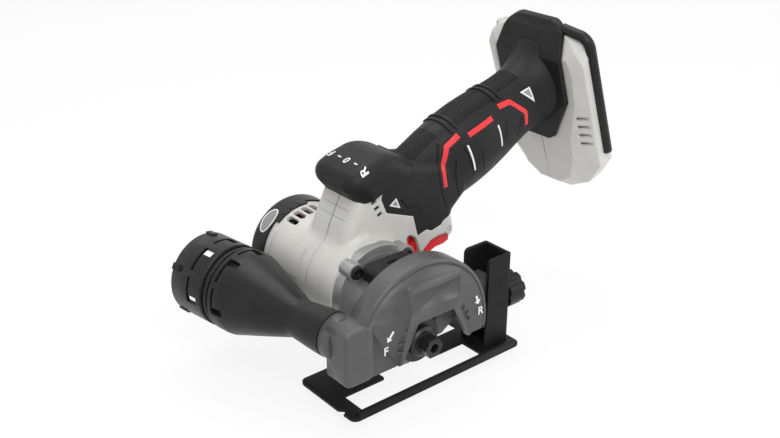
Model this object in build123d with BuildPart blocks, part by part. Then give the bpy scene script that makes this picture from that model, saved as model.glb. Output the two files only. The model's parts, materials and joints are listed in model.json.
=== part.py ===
from build123d import *

import os
from math import cos, pi, radians, sin

# Cordless cut-off tool for a small wheel, in millimetres.
# The origin is on the spindle axis, at the face that the wheel seats against.
# +X runs to the rear, towards the handle and the battery foot, +Y from the wheel to the motor, +Z up.

# Clearances
slide_gap = 0.3
running_gap = 0.05
fit_gap = 0.02
tooth_gap = 0.14

# Spindle and wheel clamp
arbor_r = 4.76
pilot_len = 1.2
flange_r = 13.0
flange_land = 2.5
flange_relief = 0.5
flange_hub_r = 9.0
inner_flange_t = 4.0
outer_flange_t = 3.0
clamp_collar_r = 8.5
clamp_collar_t = 4.0
clamp_hex_af = 10.0
clamp_hex_t = 7.5
hex_socket_af = 5.0
hex_socket_depth = 4.5
clamp_shank_r = 3.0
clamp_shank_len = 14.0
spindle_collar_r = 8.0
spindle_journal_r = 6.0
gear_seat_r = 5.0
spindle_tail_r = 3.0
lock_disc_r = 10.5
lock_disc_t = 4.0
lock_notches = 4

# Bearings
front_bearing_r = 12.0
front_bearing_t = 6.0
rear_bearing_r = 6.5
rear_bearing_t = 4.5
motor_bush_r = 4.0
motor_bush_t = 3.6
shield_depth = 0.5
race_t = 1.3

# Gear pair: the pinion drives the larger gear on the spindle
gear_module = 0.8
pinion_teeth = 15
gear_teeth = 20
gear_w = 7.0
pinion_extra_w = 0.5
gear_hub_r = 6.5

# Gear case
nose_r = 19.0
nose_len = 7.0
nose_lip = 1.0
nose_rear_r = 22.0
nose_rear_z = 7.0
chamber_r = 12.6
chamber_top_r = 8.6
ring_r = 27.0
ring_t = 6.0
ear_r = 5.0
ear_x = 17.0
ear_z = 18.0
ear_lead = 3.0
gear_plate_r = 22.5
gear_case_len = 25.0
chamber_gap = 1.0
disc_gap = 0.5

# Screws, one size for the gear case, one for the motor and guard, one for the clamshell
case_screw_r = 2.0
case_screw_head_r = 3.3
case_screw_head_t = 2.6
case_screw_len = 16.0
small_screw_r = 1.5
small_screw_head_r = 2.7
small_screw_head_t = 2.0
small_screw_len = 7.0
shell_screw_r = 1.5
shell_screw_head_r = 2.9
shell_screw_head_t = 2.2
shell_screw_len = 26.0
drive_socket_r = 1.3
drive_socket_depth = 1.4
guard_screw_circle = 16.5
guard_screw_spread = 70.0
motor_screw_x = 12.5

# Motor
can_r = 18.8
can_len = 57.0
can_wall = 1.2
can_face = 1.6
can_boss_r = 6.0
can_boss_len = 4.0
motor_shaft_r = 1.6
magnet_t = 3.4
magnet_len = 34.0
magnet_gap_half = 7.0
armature_r = 12.6
armature_len = 28.0
armature_slots = 5
slot_w = 3.0
slot_depth = 5.0
winding_r = 10.6
winding_len = 3.5
commutator_r = 4.2
commutator_len = 7.0
fan_r = 15.5
fan_t = 5.0
fan_hub_r = 5.0
fan_blade_t = 1.0
fan_blades = 9
fan_twist = 25.0
brush_w = 4.0
brush_len = 8.0
brush_wall = 1.4
carrier_t = 4.0
tab_w = 3.0
tab_t = 1.2
tab_x = 5.0
lead_r = 1.2
lead_bend = 6.0
lead_z = 35.8
shaft_tail = 3.0

# Motor barrel and its end cap
barrel_r = 28.0
barrel_len = 64.0
shell_wall = 2.5
rib_t = 2.5
cap_len = 14.0
cap_proud = 1.0
cap_round = 4.5
cap_lip = 5.0
cap_vents = 12
cap_vent_w = 2.6
cap_vent_in = 8.0
cap_vent_out = 21.0
cap_finger_w = 5.0
cap_finger_len = 3.0
cap_fingers = 4
barrel_vents = 4
barrel_vent_len = 10.0
barrel_vent_w = 3.6
barrel_vent_step = 11.0
barrel_vent_from = 86.0
inset_angle = 133.0
inset_len = 15.0
inset_w = 8.0
inset_depth = 1.4
inset_y = 5.5
cap_floor = 3.5
cap_lip_t = 2.5

# Clamshell handle: the parting plane lies midway between the wheel and the motor end
part_y = 59.0
handle_tilt = 22.0
handle_x = 97.0
handle_z = 74.6
overmould_t = 2.0
grip_front_s = -58.0
grip_root_w = 13.0
grip_root_h = 24.0
grip_neck_s = -38.0
grip_neck_w = 17.3
grip_neck_h = 24.5
grip_swell_s = -10.0
grip_swell_w = 20.5
grip_swell_h = 25.0
grip_waist_s = 32.0
grip_waist_w = 17.5
grip_waist_h = 21.0
grip_bell_s = 43.0
grip_bell_w = 18.6
grip_bell_h = 22.3
grip_rear_s = 55.0
grip_rear_w = 25.0
grip_rear_h = 30.0
stripe_w = 2.8
slit_w = 1.2
inlay_t = 0.8

# Neck and trigger housing
neck_half_w = 17.5
neck_round = 6.0
neck_corner = 4.0
neck_front_x = -17.0
neck_front_z = 30.0
neck_bridge_x = -10.0
neck_bridge_z = 48.3
neck_brow_x = -4.0
neck_brow_z = 60.0
neck_peak_z = 70.0
neck_crown_x = 30.0
neck_crown_z = 76.0
neck_back_x = 76.0
neck_back_z = 66.0
neck_tail_x = 77.0
neck_tail_z = 48.5
throat_x = 65.0
throat_z = 38.0
heel_x = 67.5
heel_z = 26.5
chin_x = 60.0
chin_z = 12.5
keel_x = 34.0
keel_z = 6.0
root_x = 20.0
root_z = 10.0
neck_vents = 3
neck_vent_x = 6.2
neck_vent_z = 60.8
neck_vent_w = 3.2
neck_vent_h = 2.2
neck_vent_step_x = 2.0
neck_vent_step_z = -4.2

# Pommel cap on the neck, and the direction selector in its back
pommel_half_w = 20.0
pommel_round = 9.0
pommel_corner = 7.0
pommel_crown_r = 20.0
pommel_nose_x = -13.5
pommel_nose_z = 74.7
pommel_top_x = 16.0
pommel_top_z = 85.2
pommel_slope_x = 27.0
pommel_slope_z = 81.5
pommel_tail_x = 36.0
pommel_tail_z = 75.0
selector_travel = 4.0
selector_half_len = 7.0
selector_w = 7.0
selector_pocket = 1.2
selector_proud = 0.6
selector_ridges = 3

# Trigger and lock-off lever
trigger_x = 61.5
trigger_z = 28.5
trigger_half_w = 14.0
lever_x = 35.5
lever_z = 27.5
lever_half_w = 14.0
pin_r = 1.5
trigger_pin_half = 17.0
lever_pin_half = 10.8
lever_hub_half_w = 7.0
lever_rib_t = 3.6
hub_r = 3.0
paddle_round = 1.2
spring_wire_r = 0.35
spring_turns = 3
spring_pitch = 1.3
spring_slot = 5.4
slot_front = 6.5
switch_half_w = 8.0
switch_x0 = 40.5
switch_len = 18.0
switch_z0 = 36.0
switch_h = 19.0
plunger_r = 2.0
plunger_len = 6.0

# Battery foot
foot_tilt = 19.0
foot_u_front = 165.0
foot_u_wing = 172.0
foot_u_rear = 183.0
front_top_w = 15.0
front_top_v = 75.0
front_side_w = 24.0
front_shoulder_v = 66.0
front_side_v = 50.0
front_hip_v = -4.0
front_chin_w = 18.0
front_chin_v = -21.0
front_low_w = 8.0
front_low_v = -28.0
wing_top_w = 18.0
wing_top_v = 76.0
wing_shoulder_w = 34.0
wing_shoulder_v = 68.0
wing_side_v = 60.0
foot_top_w = 20.0
foot_top_v = 78.0
foot_shoulder_w = 34.0
foot_shoulder_v = 76.0
foot_half_w = 38.5
foot_side_v = 70.0
foot_hip_v = -10.0
foot_chin_w = 27.0
foot_chin_v = -26.0
foot_low_w = 10.0
foot_low_v = -35.0
foot_wall = 3.0
foot_vents = 4
foot_vent_w = 2.2
foot_vent_step = 6.0
foot_vent_v = 7.0
panel_t = 4.0
panel_setback = 3.0
panel_corner = 3.0
panel_half_w = 25.3
panel_top_half_w = 15.8
panel_top_v = 81.7
panel_top_u = 179.0
panel_shoulder_half_w = 22.5
panel_shoulder_v = 77.0
panel_shoulder_u = 175.0
panel_waist_v = 64.0
panel_waist_u = 165.7
panel_side_v = 35.0
panel_side_u = 165.0
panel_low_half_w = 12.0
panel_low_v = 8.0
panel_low_u = 162.0
lead_turn_u = 148.5
recess_depth = 10.0
recess_half_w = 26.0
recess_top_v = 60.0
rail_lip = 3.5
rail_t = 3.0
block_half_w = 14.0
block_h = 22.0
block_v = 34.0
block_t = 7.0
blade_t = 1.0
blade_h = 4.5
blade_len = 16.0
blade_seat = 6.0
blade_lift = 2.0
blade_pitch = 7.0
blades = 4
bumper_w = 4.5
bumper_proud = 2.0
bumper_t = 6.0
bumper_low_v = -5.0
bumper_gap_half = 17.0

# Guard
guard_r = 46.0
guard_lead = 7.0
guard_depth = 12.0
guard_wall = 2.2
guard_back_t = 2.0
guard_floor_z = -7.7
guard_round = 2.0
guard_hole_r = 12.5
pad_t = 1.2
pad_x0 = -13.0
pad_x1 = 25.0
pad_top_z = 36.5
pad_rim = 2.2
label_margin = 4.0
label_h = 12.0
label_recess = 0.6
arch_low_x0 = -15.0
arch_low_x1 = 31.0
arch_top_x0 = -4.3
arch_top_x1 = 20.0
arch_top_z = 13.0
box_x0 = -52.0
box_x1 = -34.0
box_y1 = 7.0
box_proud = 2.0
box_top_z = 23.5
box_round = 4.0
box_wall = 2.2
port_x = -43.5
port_y = 12.0
port_z = 12.0
port_r = 11.0
port_bore_r = 9.55
port_back = 7.0
port_mouth = 5.0
port_collar = 1.0
rim_groove = 1.0
port_yaw = 8.8
tongue_x0 = 38.0
tongue_x1 = 62.0
tongue_top_z = 12.0

# Dust adapter
adapter_tube_r = 9.5
adapter_tube_len = 20.0
adapter_sleeve_r = 10.5
adapter_cone_len = 40.0
adapter_cone_mid = 14.0
adapter_cone_mid_r = 15.7
adapter_cone_late = 27.0
adapter_cone_late_r = 19.0
adapter_r = 23.5
adapter_wall = 2.0
adapter_drum_len = 17.0
adapter_groove_len = 5.0
adapter_groove_depth = 2.2
adapter_end_len = 15.0
adapter_plug_len = 10.0
bayonet_slots = 5
bayonet_depth = 1.2

# Shoe, riser and depth clamp
shoe_len = 120.0
shoe_front_x = -46.0
shoe_near_y = -7.0
shoe_w = 48.4
shoe_drop = 31.0
shoe_corner = 4.0
sheet_t = 2.0
rail_w = 3.1
rail_h = 5.0
window_x0 = -38.5
window_x1 = 45.8
window_y1 = 10.3
bay_x0 = -21.0
bay_x1 = 15.0
riser_x0 = 52.6
riser_x1 = 69.6
riser_y0 = -0.7
riser_w = 20.4
riser_h = 56.0
riser_corner = 3.0
depth_down = 6.0
depth_up = 13.0
stud_r = 3.0
stud_z = -2.5
stud_seat = 8.0
knob_r = 10.0
knob_t = 12.0
knob_hub_r = 6.0
knob_hub_t = 2.0
knob_lobes = 8
knob_edge = 0.8
knob_lobe_r = 2.2
rivet_r = 2.0
rivet_head_r = 3.0
rivet_edge = 4.4

# Spindle lock
lock_pin_r = 1.8
lock_travel = 3.0
lock_half_x = 15.0
lock_y0 = 10.5
lock_y1 = 24.5
lock_top_z = 37.0
lock_lift = 0.8
lock_side_z = 26.0
lock_pocket_z = 35.0
lock_tip_gap = 0.5
lock_corner = 4.0
lock_hole_len = 8.0
lock_hole_w = 4.0
lock_hole_depth = 1.0
lock_spring_r = 2.4

# Stations along the spindle, worked out from the sizes above
motor_z = gear_module * (pinion_teeth + gear_teeth) / 2
pilot_end = -pilot_len
outer_flange_end = pilot_end - outer_flange_t
clamp_collar_end = outer_flange_end - clamp_collar_t
clamp_end = clamp_collar_end - clamp_hex_t
guard_front_y = -guard_lead
guard_back_y = guard_front_y + guard_depth
nose_y = guard_back_y
front_bearing_y = nose_y + nose_lip
lock_disc_y = front_bearing_y + front_bearing_t + disc_gap
gear_y = lock_disc_y + lock_disc_t + 3 * disc_gap
ring_y = nose_y + gear_case_len
barrel_y = ring_y + ring_t
barrel_end = barrel_y + barrel_len
lock_pin_y = lock_disc_y + lock_disc_t / 2

os.makedirs("parts", exist_ok=True)


def write(piece, label):
    """Labels a finished piece and writes its STEP file."""
    piece.part.label = label
    export_step(piece.part, f"parts/{label}.step")


def side_plane(y):
    """Side view at depth y: sketch axes are the tool's X and Z, and a negative extrude runs to +Y."""
    return Plane(origin=(0, y, 0), x_dir=(1, 0, 0), z_dir=(0, -1, 0))


def handle_plane(s):
    """Plane square to the handle axis, s along it from the middle of the grip."""
    run = radians(handle_tilt)
    centre = (handle_x + s * cos(run), part_y, handle_z + s * sin(run))
    return Plane(origin=centre, x_dir=(0, 1, 0), z_dir=(cos(run), 0, sin(run)))


def foot_plane(u):
    """Plane parallel to the battery face at u along its normal: sketch axes are w across and v up."""
    run = radians(foot_tilt)
    return Plane(origin=(u * cos(run), part_y, u * sin(run)), x_dir=(0, 1, 0), z_dir=(cos(run), 0, sin(run)))


def foot_side_plane(offset_y):
    """Side view turned with the foot: sketch axes are its u and v, offset_y from the parting plane."""
    run = radians(foot_tilt)
    return Plane(origin=(0, part_y + offset_y, 0), x_dir=(cos(run), 0, sin(run)), z_dir=(0, -1, 0))


def foot_point(u, v, w):
    """Tool coordinates of a point given in the foot's own directions."""
    run = radians(foot_tilt)
    return (u * cos(run) - v * sin(run), part_y + w, u * sin(run) + v * cos(run))


def bar(x, z, r, y0, y1):
    """Round bar along Y."""
    with BuildPart() as made:
        with BuildSketch(side_plane(y0)):
            with Locations((x, z)):
                Circle(r)
        extrude(amount=y0 - y1)
    return made.part


def prism(points, y0, y1):
    """Side-view outline carried from y0 to y1."""
    with BuildPart() as made:
        with BuildSketch(side_plane(y0)):
            with BuildLine():
                Polyline(points, close=True)
            make_face()
        extrude(amount=y0 - y1)
    return made.part


def ring_bearing(x, z, outer_r, inner_r, y0, y1):
    """Ball bearing: a ring with sunk shields between its races."""
    with BuildPart() as made:
        with BuildSketch(side_plane(y0)):
            with Locations((x, z)):
                Circle(outer_r)
                Circle(inner_r, mode=Mode.SUBTRACT)
        extrude(amount=y0 - y1)
        for y, way in ((y0, -1), (y1, 1)):
            with BuildSketch(side_plane(y)):
                with Locations((x, z)):
                    Circle(outer_r - race_t)
                    Circle(inner_r + race_t, mode=Mode.SUBTRACT)
            extrude(amount=way * shield_depth, mode=Mode.SUBTRACT)
    return made.part


def spur_teeth(teeth, z, bore_r, y0, y1):
    """Spur gear with one tooth upright, thinned for backlash."""
    pitch_r = gear_module * teeth / 2
    root_r = pitch_r - 1.2 * gear_module
    tip_r = pitch_r + 0.9 * gear_module
    half_pitch = (pi * gear_module / 2 - tooth_gap) / 2
    tooth = [
        (0.9 * root_r, -1.45 * half_pitch), (root_r, -1.4 * half_pitch), (pitch_r, -half_pitch),
        (tip_r, -0.5 * half_pitch), (tip_r, 0.5 * half_pitch), (pitch_r, half_pitch),
        (root_r, 1.4 * half_pitch), (0.9 * root_r, 1.45 * half_pitch),
    ]
    with BuildPart() as made:
        with BuildSketch(side_plane(y0)):
            with Locations((0, z)):
                Circle(root_r)
                with PolarLocations(0, teeth, start_angle=90):
                    Polygon(*tooth, align=None)
                Circle(bore_r, mode=Mode.SUBTRACT)
        extrude(amount=y0 - y1)
    return made.part


def screw(x, z, head_r, head_t, shank_r, length, seat_y, way):
    """Cap screw along Y with its head against seat_y; way is +1 when the shank runs to +Y."""
    with BuildPart() as made:
        with BuildSketch(side_plane(seat_y)):
            with Locations((x, z)):
                Circle(head_r)
        extrude(amount=way * head_t)
        with BuildSketch(side_plane(seat_y)):
            with Locations((x, z)):
                Circle(shank_r)
        extrude(amount=-way * length)
        with BuildSketch(side_plane(seat_y - way * head_t)):
            with Locations((x, z)):
                RegularPolygon(drive_socket_r, 6)
        extrude(amount=-way * drive_socket_depth, mode=Mode.SUBTRACT)
    return made.part


def coil(centre, axis, radius, pitch, turns, wire_r):
    """Coil spring as one tube, swept along half-turn arcs."""
    frame = Plane(origin=centre, z_dir=axis)

    def at(turn):
        angle = 2 * pi * turn
        return frame.from_local_coords((radius * cos(angle), radius * sin(angle), pitch * turn))

    steps = int(4 * turns)
    with BuildPart() as made:
        with BuildLine() as path:
            for step in range(steps):
                ThreePointArc(at(step / 4), at((step + 0.5) / 4), at((step + 1) / 4))
        with BuildSketch(Plane(origin=path.line @ 0, z_dir=path.line % 0)):
            Circle(wire_r)
        sweep()
    return made.part


# Spindle group
with BuildPart() as spindle_shaft:
    with BuildSketch(Plane.XY):
        with BuildLine():
            Polyline(
                (0, pilot_end), (arbor_r, pilot_end), (arbor_r, inner_flange_t),
                (spindle_collar_r, inner_flange_t), (spindle_collar_r, front_bearing_y),
                (spindle_journal_r, front_bearing_y), (spindle_journal_r, lock_disc_y),
                (lock_disc_r, lock_disc_y), (lock_disc_r, lock_disc_y + lock_disc_t),
                (gear_hub_r, lock_disc_y + lock_disc_t), (gear_hub_r, gear_y), (gear_seat_r, gear_y),
                (gear_seat_r, gear_y + gear_w), (spindle_tail_r, gear_y + gear_w),
                (spindle_tail_r, ring_y + rear_bearing_t), (0, ring_y + rear_bearing_t), close=True,
            )
        make_face()
    revolve(axis=Axis.Y)
    with BuildSketch(side_plane(lock_disc_y)):
        with PolarLocations(lock_disc_r, lock_notches, start_angle=90):
            Circle(lock_pin_r + slide_gap)
    extrude(amount=-lock_disc_t, mode=Mode.SUBTRACT)
    with BuildSketch(side_plane(pilot_end)):
        Circle(clamp_shank_r + fit_gap)
    extrude(amount=outer_flange_t - clamp_shank_len - 1, mode=Mode.SUBTRACT)
write(spindle_shaft, "spindle_shaft")

with BuildPart() as inner_flange:
    with BuildSketch(Plane.XY):
        with BuildLine():
            bore = arbor_r + fit_gap
            Polyline(
                (bore, flange_relief), (flange_r - flange_land, flange_relief), (flange_r - flange_land, 0),
                (flange_r, 0), (flange_r, inner_flange_t / 2), (flange_hub_r, inner_flange_t),
                (bore, inner_flange_t), close=True,
            )
        make_face()
    revolve(axis=Axis.Y)
write(inner_flange, "inner_flange")

with BuildPart() as outer_flange:
    with BuildSketch(Plane.XY):
        with BuildLine():
            bore = clamp_shank_r + fit_gap
            Polyline(
                (bore, pilot_end), (flange_r - flange_land, pilot_end), (flange_r, pilot_end - flange_relief),
                (flange_r, outer_flange_end), (bore, outer_flange_end), close=True,
            )
        make_face()
    revolve(axis=Axis.Y)
    front_edges = outer_flange.edges().filter_by(GeomType.CIRCLE).group_by(Axis.Y)[0]
    chamfer(front_edges.sort_by(SortBy.RADIUS)[-1], flange_relief)
write(outer_flange, "outer_flange")

with BuildPart() as clamp_screw:
    with BuildSketch(side_plane(outer_flange_end)):
        Circle(clamp_collar_r)
    extrude(amount=clamp_collar_t)
    chamfer(clamp_screw.edges().group_by(Axis.Y)[0], clamp_collar_t / 3)
    with BuildSketch(side_plane(clamp_collar_end)):
        RegularPolygon(clamp_hex_af / 2, 6, major_radius=False)
    extrude(amount=clamp_hex_t)
    with BuildSketch(side_plane(clamp_end)):
        RegularPolygon(hex_socket_af / 2, 6, major_radius=False)
    extrude(amount=-hex_socket_depth, mode=Mode.SUBTRACT)
    with BuildSketch(side_plane(outer_flange_end)):
        Circle(clamp_shank_r)
    extrude(amount=-clamp_shank_len)
write(clamp_screw, "clamp_screw")

with BuildPart() as driven_gear:
    add(spur_teeth(gear_teeth, 0, gear_seat_r + fit_gap, gear_y, gear_y + gear_w))
write(driven_gear, "driven_gear")

with BuildPart() as front_bearing:
    add(ring_bearing(0, 0, front_bearing_r - fit_gap, spindle_journal_r + running_gap,
                     front_bearing_y, front_bearing_y + front_bearing_t))
write(front_bearing, "front_spindle_bearing")

with BuildPart() as rear_bearing:
    add(ring_bearing(0, 0, rear_bearing_r - fit_gap, spindle_tail_r + running_gap,
                     ring_y, ring_y + rear_bearing_t))
write(rear_bearing, "rear_spindle_bearing")

# Gear case and its back plate
ear_places = [(sx * ear_x, motor_z + sz * ear_z) for sx in (-1, 1) for sz in (-1, 1)]
case_seat_y = ring_y - ear_lead + case_screw_head_t / 2
guard_screw_angles = [radians(90 + turn * guard_screw_spread) for turn in (-1, 0, 1)]
guard_screw_places = [(guard_screw_circle * cos(a), guard_screw_circle * sin(a)) for a in guard_screw_angles]

with BuildPart() as gear_case:
    with BuildSketch(side_plane(nose_y)):
        Circle(nose_r)
    with BuildSketch(side_plane(nose_y + nose_len)):
        with Locations((0, nose_rear_z)):
            Circle(nose_rear_r)
    loft()
    with BuildSketch(side_plane(nose_y + nose_len)):
        with Locations((0, nose_rear_z)):
            Circle(nose_rear_r)
    extrude(amount=nose_y + nose_len - ring_y)
    with BuildSketch(side_plane(ring_y)):
        with Locations((0, motor_z)):
            Circle(ring_r)
    extrude(amount=-ring_t)
    with BuildSketch(side_plane(ring_y - ear_lead)):
        with Locations(*ear_places):
            Circle(ear_r)
    extrude(amount=-(ring_t + ear_lead))
    with BuildSketch(side_plane(nose_y)):
        Circle(front_bearing_r - race_t)
    extrude(amount=-nose_lip, mode=Mode.SUBTRACT)
    with BuildSketch(side_plane(front_bearing_y)):
        Circle(front_bearing_r)
    extrude(amount=-front_bearing_t, mode=Mode.SUBTRACT)
    with BuildSketch(side_plane(front_bearing_y + front_bearing_t)):
        Circle(chamber_r)
        with Locations((0, motor_z)):
            Circle(chamber_top_r)
    extrude(amount=front_bearing_y + front_bearing_t - ring_y, mode=Mode.SUBTRACT)
    with BuildSketch(side_plane(ring_y)):
        with Locations((0, motor_z)):
            Circle(gear_plate_r + fit_gap)
    extrude(amount=-ring_t, mode=Mode.SUBTRACT)
    with BuildSketch(side_plane(ring_y - ear_lead)):
        with Locations(*ear_places):
            Circle(case_screw_r + fit_gap)
    extrude(amount=-(ring_t + ear_lead), mode=Mode.SUBTRACT)
    with BuildSketch(side_plane(nose_y)):
        with Locations(*ear_places):
            Circle(case_screw_head_r + slide_gap)
    extrude(amount=nose_y - case_seat_y, mode=Mode.SUBTRACT)
    with BuildSketch(side_plane(nose_y)):
        with Locations(*guard_screw_places):
            Circle(small_screw_r + fit_gap)
    extrude(amount=-small_screw_len, mode=Mode.SUBTRACT)
    with BuildSketch(Plane.XY.offset(motor_z)):
        with Locations((0, lock_pin_y)):
            Circle(lock_pin_r + running_gap)
    extrude(amount=2 * nose_rear_r, mode=Mode.SUBTRACT)
write(gear_case, "gear_case")

with BuildPart() as gear_plate:
    with BuildSketch(side_plane(ring_y)):
        with Locations((0, motor_z)):
            Circle(gear_plate_r)
            Circle(can_boss_r + fit_gap, mode=Mode.SUBTRACT)
        with Locations((-motor_screw_x, motor_z), (motor_screw_x, motor_z)):
            Circle(small_screw_r + fit_gap, mode=Mode.SUBTRACT)
    extrude(amount=-ring_t)
    with BuildSketch(side_plane(ring_y)):
        Circle(rear_bearing_r)
    extrude(amount=-rear_bearing_t, mode=Mode.SUBTRACT)
    with BuildSketch(side_plane(ring_y)):
        with Locations((-motor_screw_x, motor_z), (motor_screw_x, motor_z)):
            Circle(small_screw_head_r + slide_gap)
    extrude(amount=-small_screw_head_t, mode=Mode.SUBTRACT)
write(gear_plate, "gear_plate")

with BuildPart() as gear_case_screws:
    for x, z in ear_places:
        add(screw(x, z, case_screw_head_r, case_screw_head_t, case_screw_r, case_screw_len,
                  case_seat_y, 1))
write(gear_case_screws, "gear_case_screws")

# Motor
can_y = barrel_y
can_end = can_y + can_len
motor_axis = Axis((0, 0, motor_z), (0, 1, 0))
motor_turning = Plane.XY.offset(motor_z)
fan_y = can_y + can_face + chamber_gap
armature_y = fan_y + fan_t + winding_len + 2 * chamber_gap
commutator_y = armature_y + armature_len + winding_len + chamber_gap
carrier_y = can_end - carrier_t

with BuildPart() as motor_can:
    with BuildSketch(motor_turning):
        with BuildLine():
            Polyline(
                (motor_bush_r, can_y - can_boss_len), (can_boss_r, can_y - can_boss_len), (can_boss_r, can_y),
                (can_r, can_y), (can_r, can_end), (can_r - can_wall, can_end),
                (can_r - can_wall, can_y + can_face), (motor_bush_r, can_y + can_face), close=True,
            )
        make_face()
    revolve(axis=motor_axis)
    with BuildSketch(side_plane(can_y)):
        with Locations((-motor_screw_x, motor_z), (motor_screw_x, motor_z)):
            Circle(small_screw_r + fit_gap)
    extrude(amount=-can_face, mode=Mode.SUBTRACT)
write(motor_can, "motor_can")

with BuildPart() as motor_screws:
    for side in (-1, 1):
        add(screw(side * motor_screw_x, motor_z, small_screw_head_r, small_screw_head_t, small_screw_r,
                  ring_t - small_screw_head_t + can_face, ring_y + small_screw_head_t, 1))
write(motor_screws, "motor_screws")

with BuildPart() as motor_magnets:
    with BuildSketch(side_plane(armature_y + armature_len / 2 - magnet_len / 2)):
        with Locations((0, motor_z)):
            Circle(can_r - can_wall - fit_gap)
            Circle(can_r - can_wall - magnet_t, mode=Mode.SUBTRACT)
            Rectangle(2 * magnet_gap_half, 2 * can_r, mode=Mode.SUBTRACT)
    extrude(amount=-magnet_len)
write(motor_magnets, "motor_magnets")

with BuildPart() as motor_shaft:
    add(bar(0, motor_z, motor_shaft_r, gear_y - pinion_extra_w, can_end + shaft_tail))
write(motor_shaft, "motor_shaft")

with BuildPart() as pinion:
    add(spur_teeth(pinion_teeth, motor_z, motor_shaft_r + fit_gap, gear_y - pinion_extra_w,
                   gear_y + gear_w + pinion_extra_w))
write(pinion, "pinion")

with BuildPart() as front_bush:
    with BuildSketch(side_plane(can_y - can_boss_len)):
        with Locations((0, motor_z)):
            Circle(motor_bush_r - fit_gap)
            Circle(motor_shaft_r + running_gap, mode=Mode.SUBTRACT)
    extrude(amount=-motor_bush_t)
write(front_bush, "front_motor_bush")

with BuildPart() as motor_fan:
    with BuildSketch(side_plane(fan_y)):
        with Locations((0, motor_z)):
            Circle(fan_r)
            Circle(motor_shaft_r + fit_gap, mode=Mode.SUBTRACT)
    extrude(amount=-fan_blade_t)
    with BuildSketch(side_plane(fan_y)):
        with Locations((0, motor_z)):
            Circle(fan_hub_r)
            Circle(motor_shaft_r + fit_gap, mode=Mode.SUBTRACT)
    extrude(amount=-fan_t)
    with BuildSketch(side_plane(fan_y)):
        with Locations((0, motor_z)):
            with PolarLocations((fan_hub_r + fan_r) / 2 - fan_blade_t / 2, fan_blades):
                Rectangle(fan_r - fan_hub_r, fan_blade_t, rotation=fan_twist)
    extrude(amount=-fan_t)
write(motor_fan, "motor_fan")

with BuildPart() as armature:
    with BuildSketch(side_plane(armature_y)):
        with Locations((0, motor_z)):
            Circle(armature_r)
            with PolarLocations(armature_r - slot_depth / 2, armature_slots):
                Rectangle(slot_depth + 1, slot_w, mode=Mode.SUBTRACT)
            Circle(motor_shaft_r + fit_gap, mode=Mode.SUBTRACT)
    extrude(amount=-armature_len)
    with BuildSketch(side_plane(armature_y - winding_len)):
        with Locations((0, motor_z)):
            Circle(winding_r)
            Circle(motor_shaft_r + fit_gap, mode=Mode.SUBTRACT)
    extrude(amount=-(armature_len + 2 * winding_len))
write(armature, "armature")

with BuildPart() as commutator:
    with BuildSketch(side_plane(commutator_y)):
        with Locations((0, motor_z)):
            Circle(commutator_r)
            Circle(motor_shaft_r + fit_gap, mode=Mode.SUBTRACT)
    extrude(amount=-commutator_len)
write(commutator, "commutator")

brush_x0 = commutator_r + slide_gap
brush_y = commutator_y + commutator_len / 2

with BuildPart() as brush_carrier:
    with BuildSketch(side_plane(carrier_y)):
        with Locations((0, motor_z)):
            Circle(can_r - can_wall - fit_gap)
            Circle(motor_bush_r, mode=Mode.SUBTRACT)
    extrude(amount=-carrier_t)
    for side in (-1, 1):
        with BuildSketch(side_plane(brush_y - brush_w / 2 - brush_wall)):
            with Locations((side * (brush_x0 + brush_wall + brush_len / 2), motor_z)):
                Rectangle(brush_len, brush_w + 2 * brush_wall)
        extrude(amount=brush_y - brush_w / 2 - brush_wall - carrier_y)
        with BuildSketch(side_plane(brush_y - brush_w / 2)):
            with Locations((side * (brush_x0 + brush_len / 2), motor_z)):
                Rectangle(2 * brush_len, brush_w)
        extrude(amount=-brush_w, mode=Mode.SUBTRACT)
        with BuildSketch(side_plane(can_end)):
            with Locations((side * tab_x, lead_z + lead_r)):
                Rectangle(tab_w, lead_z - motor_z - can_r / 2, align=(Align.CENTER, Align.MAX))
        extrude(amount=-tab_t)
write(brush_carrier, "brush_carrier")

with BuildPart() as carbon_brushes:
    for side in (-1, 1):
        with BuildSketch(side_plane(brush_y - brush_w / 2 + fit_gap)):
            with Locations((side * (brush_x0 + brush_len / 2), motor_z)):
                Rectangle(brush_len, brush_w - 2 * fit_gap)
        extrude(amount=-(brush_w - 2 * fit_gap))
write(carbon_brushes, "carbon_brushes")

with BuildPart() as rear_bush:
    with BuildSketch(side_plane(carrier_y)):
        with Locations((0, motor_z)):
            Circle(motor_bush_r - fit_gap)
            Circle(motor_shaft_r + running_gap, mode=Mode.SUBTRACT)
    extrude(amount=-carrier_t)
write(rear_bush, "rear_motor_bush")

# Forms that the clamshell, its soft cover and its caps are cut from
grip_stations = [
    (grip_front_s, grip_root_w, grip_root_h),
    (grip_neck_s, grip_neck_w, grip_neck_h),
    (grip_swell_s, grip_swell_w, grip_swell_h),
    ((grip_swell_s + grip_waist_s) / 2, (grip_swell_w + grip_waist_w) / 2, (grip_swell_h + grip_waist_h) / 2),
    (grip_waist_s, grip_waist_w, grip_waist_h),
    (grip_bell_s, grip_bell_w, grip_bell_h),
    (grip_rear_s, grip_rear_w, grip_rear_h),
]
neck_outline = [
    (neck_front_x, neck_front_z), (neck_bridge_x, neck_bridge_z), (neck_brow_x, neck_brow_z),
    (0, neck_peak_z), (neck_crown_x, neck_crown_z), (neck_back_x, neck_back_z), (neck_tail_x, neck_tail_z),
    (throat_x, throat_z), (heel_x, heel_z), (chin_x, chin_z), (keel_x, keel_z), (root_x, root_z),
]


def grip_form(inset):
    """Handle grip, inset from its outer skin."""
    with BuildPart() as made:
        for s, half_w, half_h in grip_stations:
            with BuildSketch(handle_plane(s)):
                Ellipse(half_w - inset, half_h - inset)
        loft()
    return made.part


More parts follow.
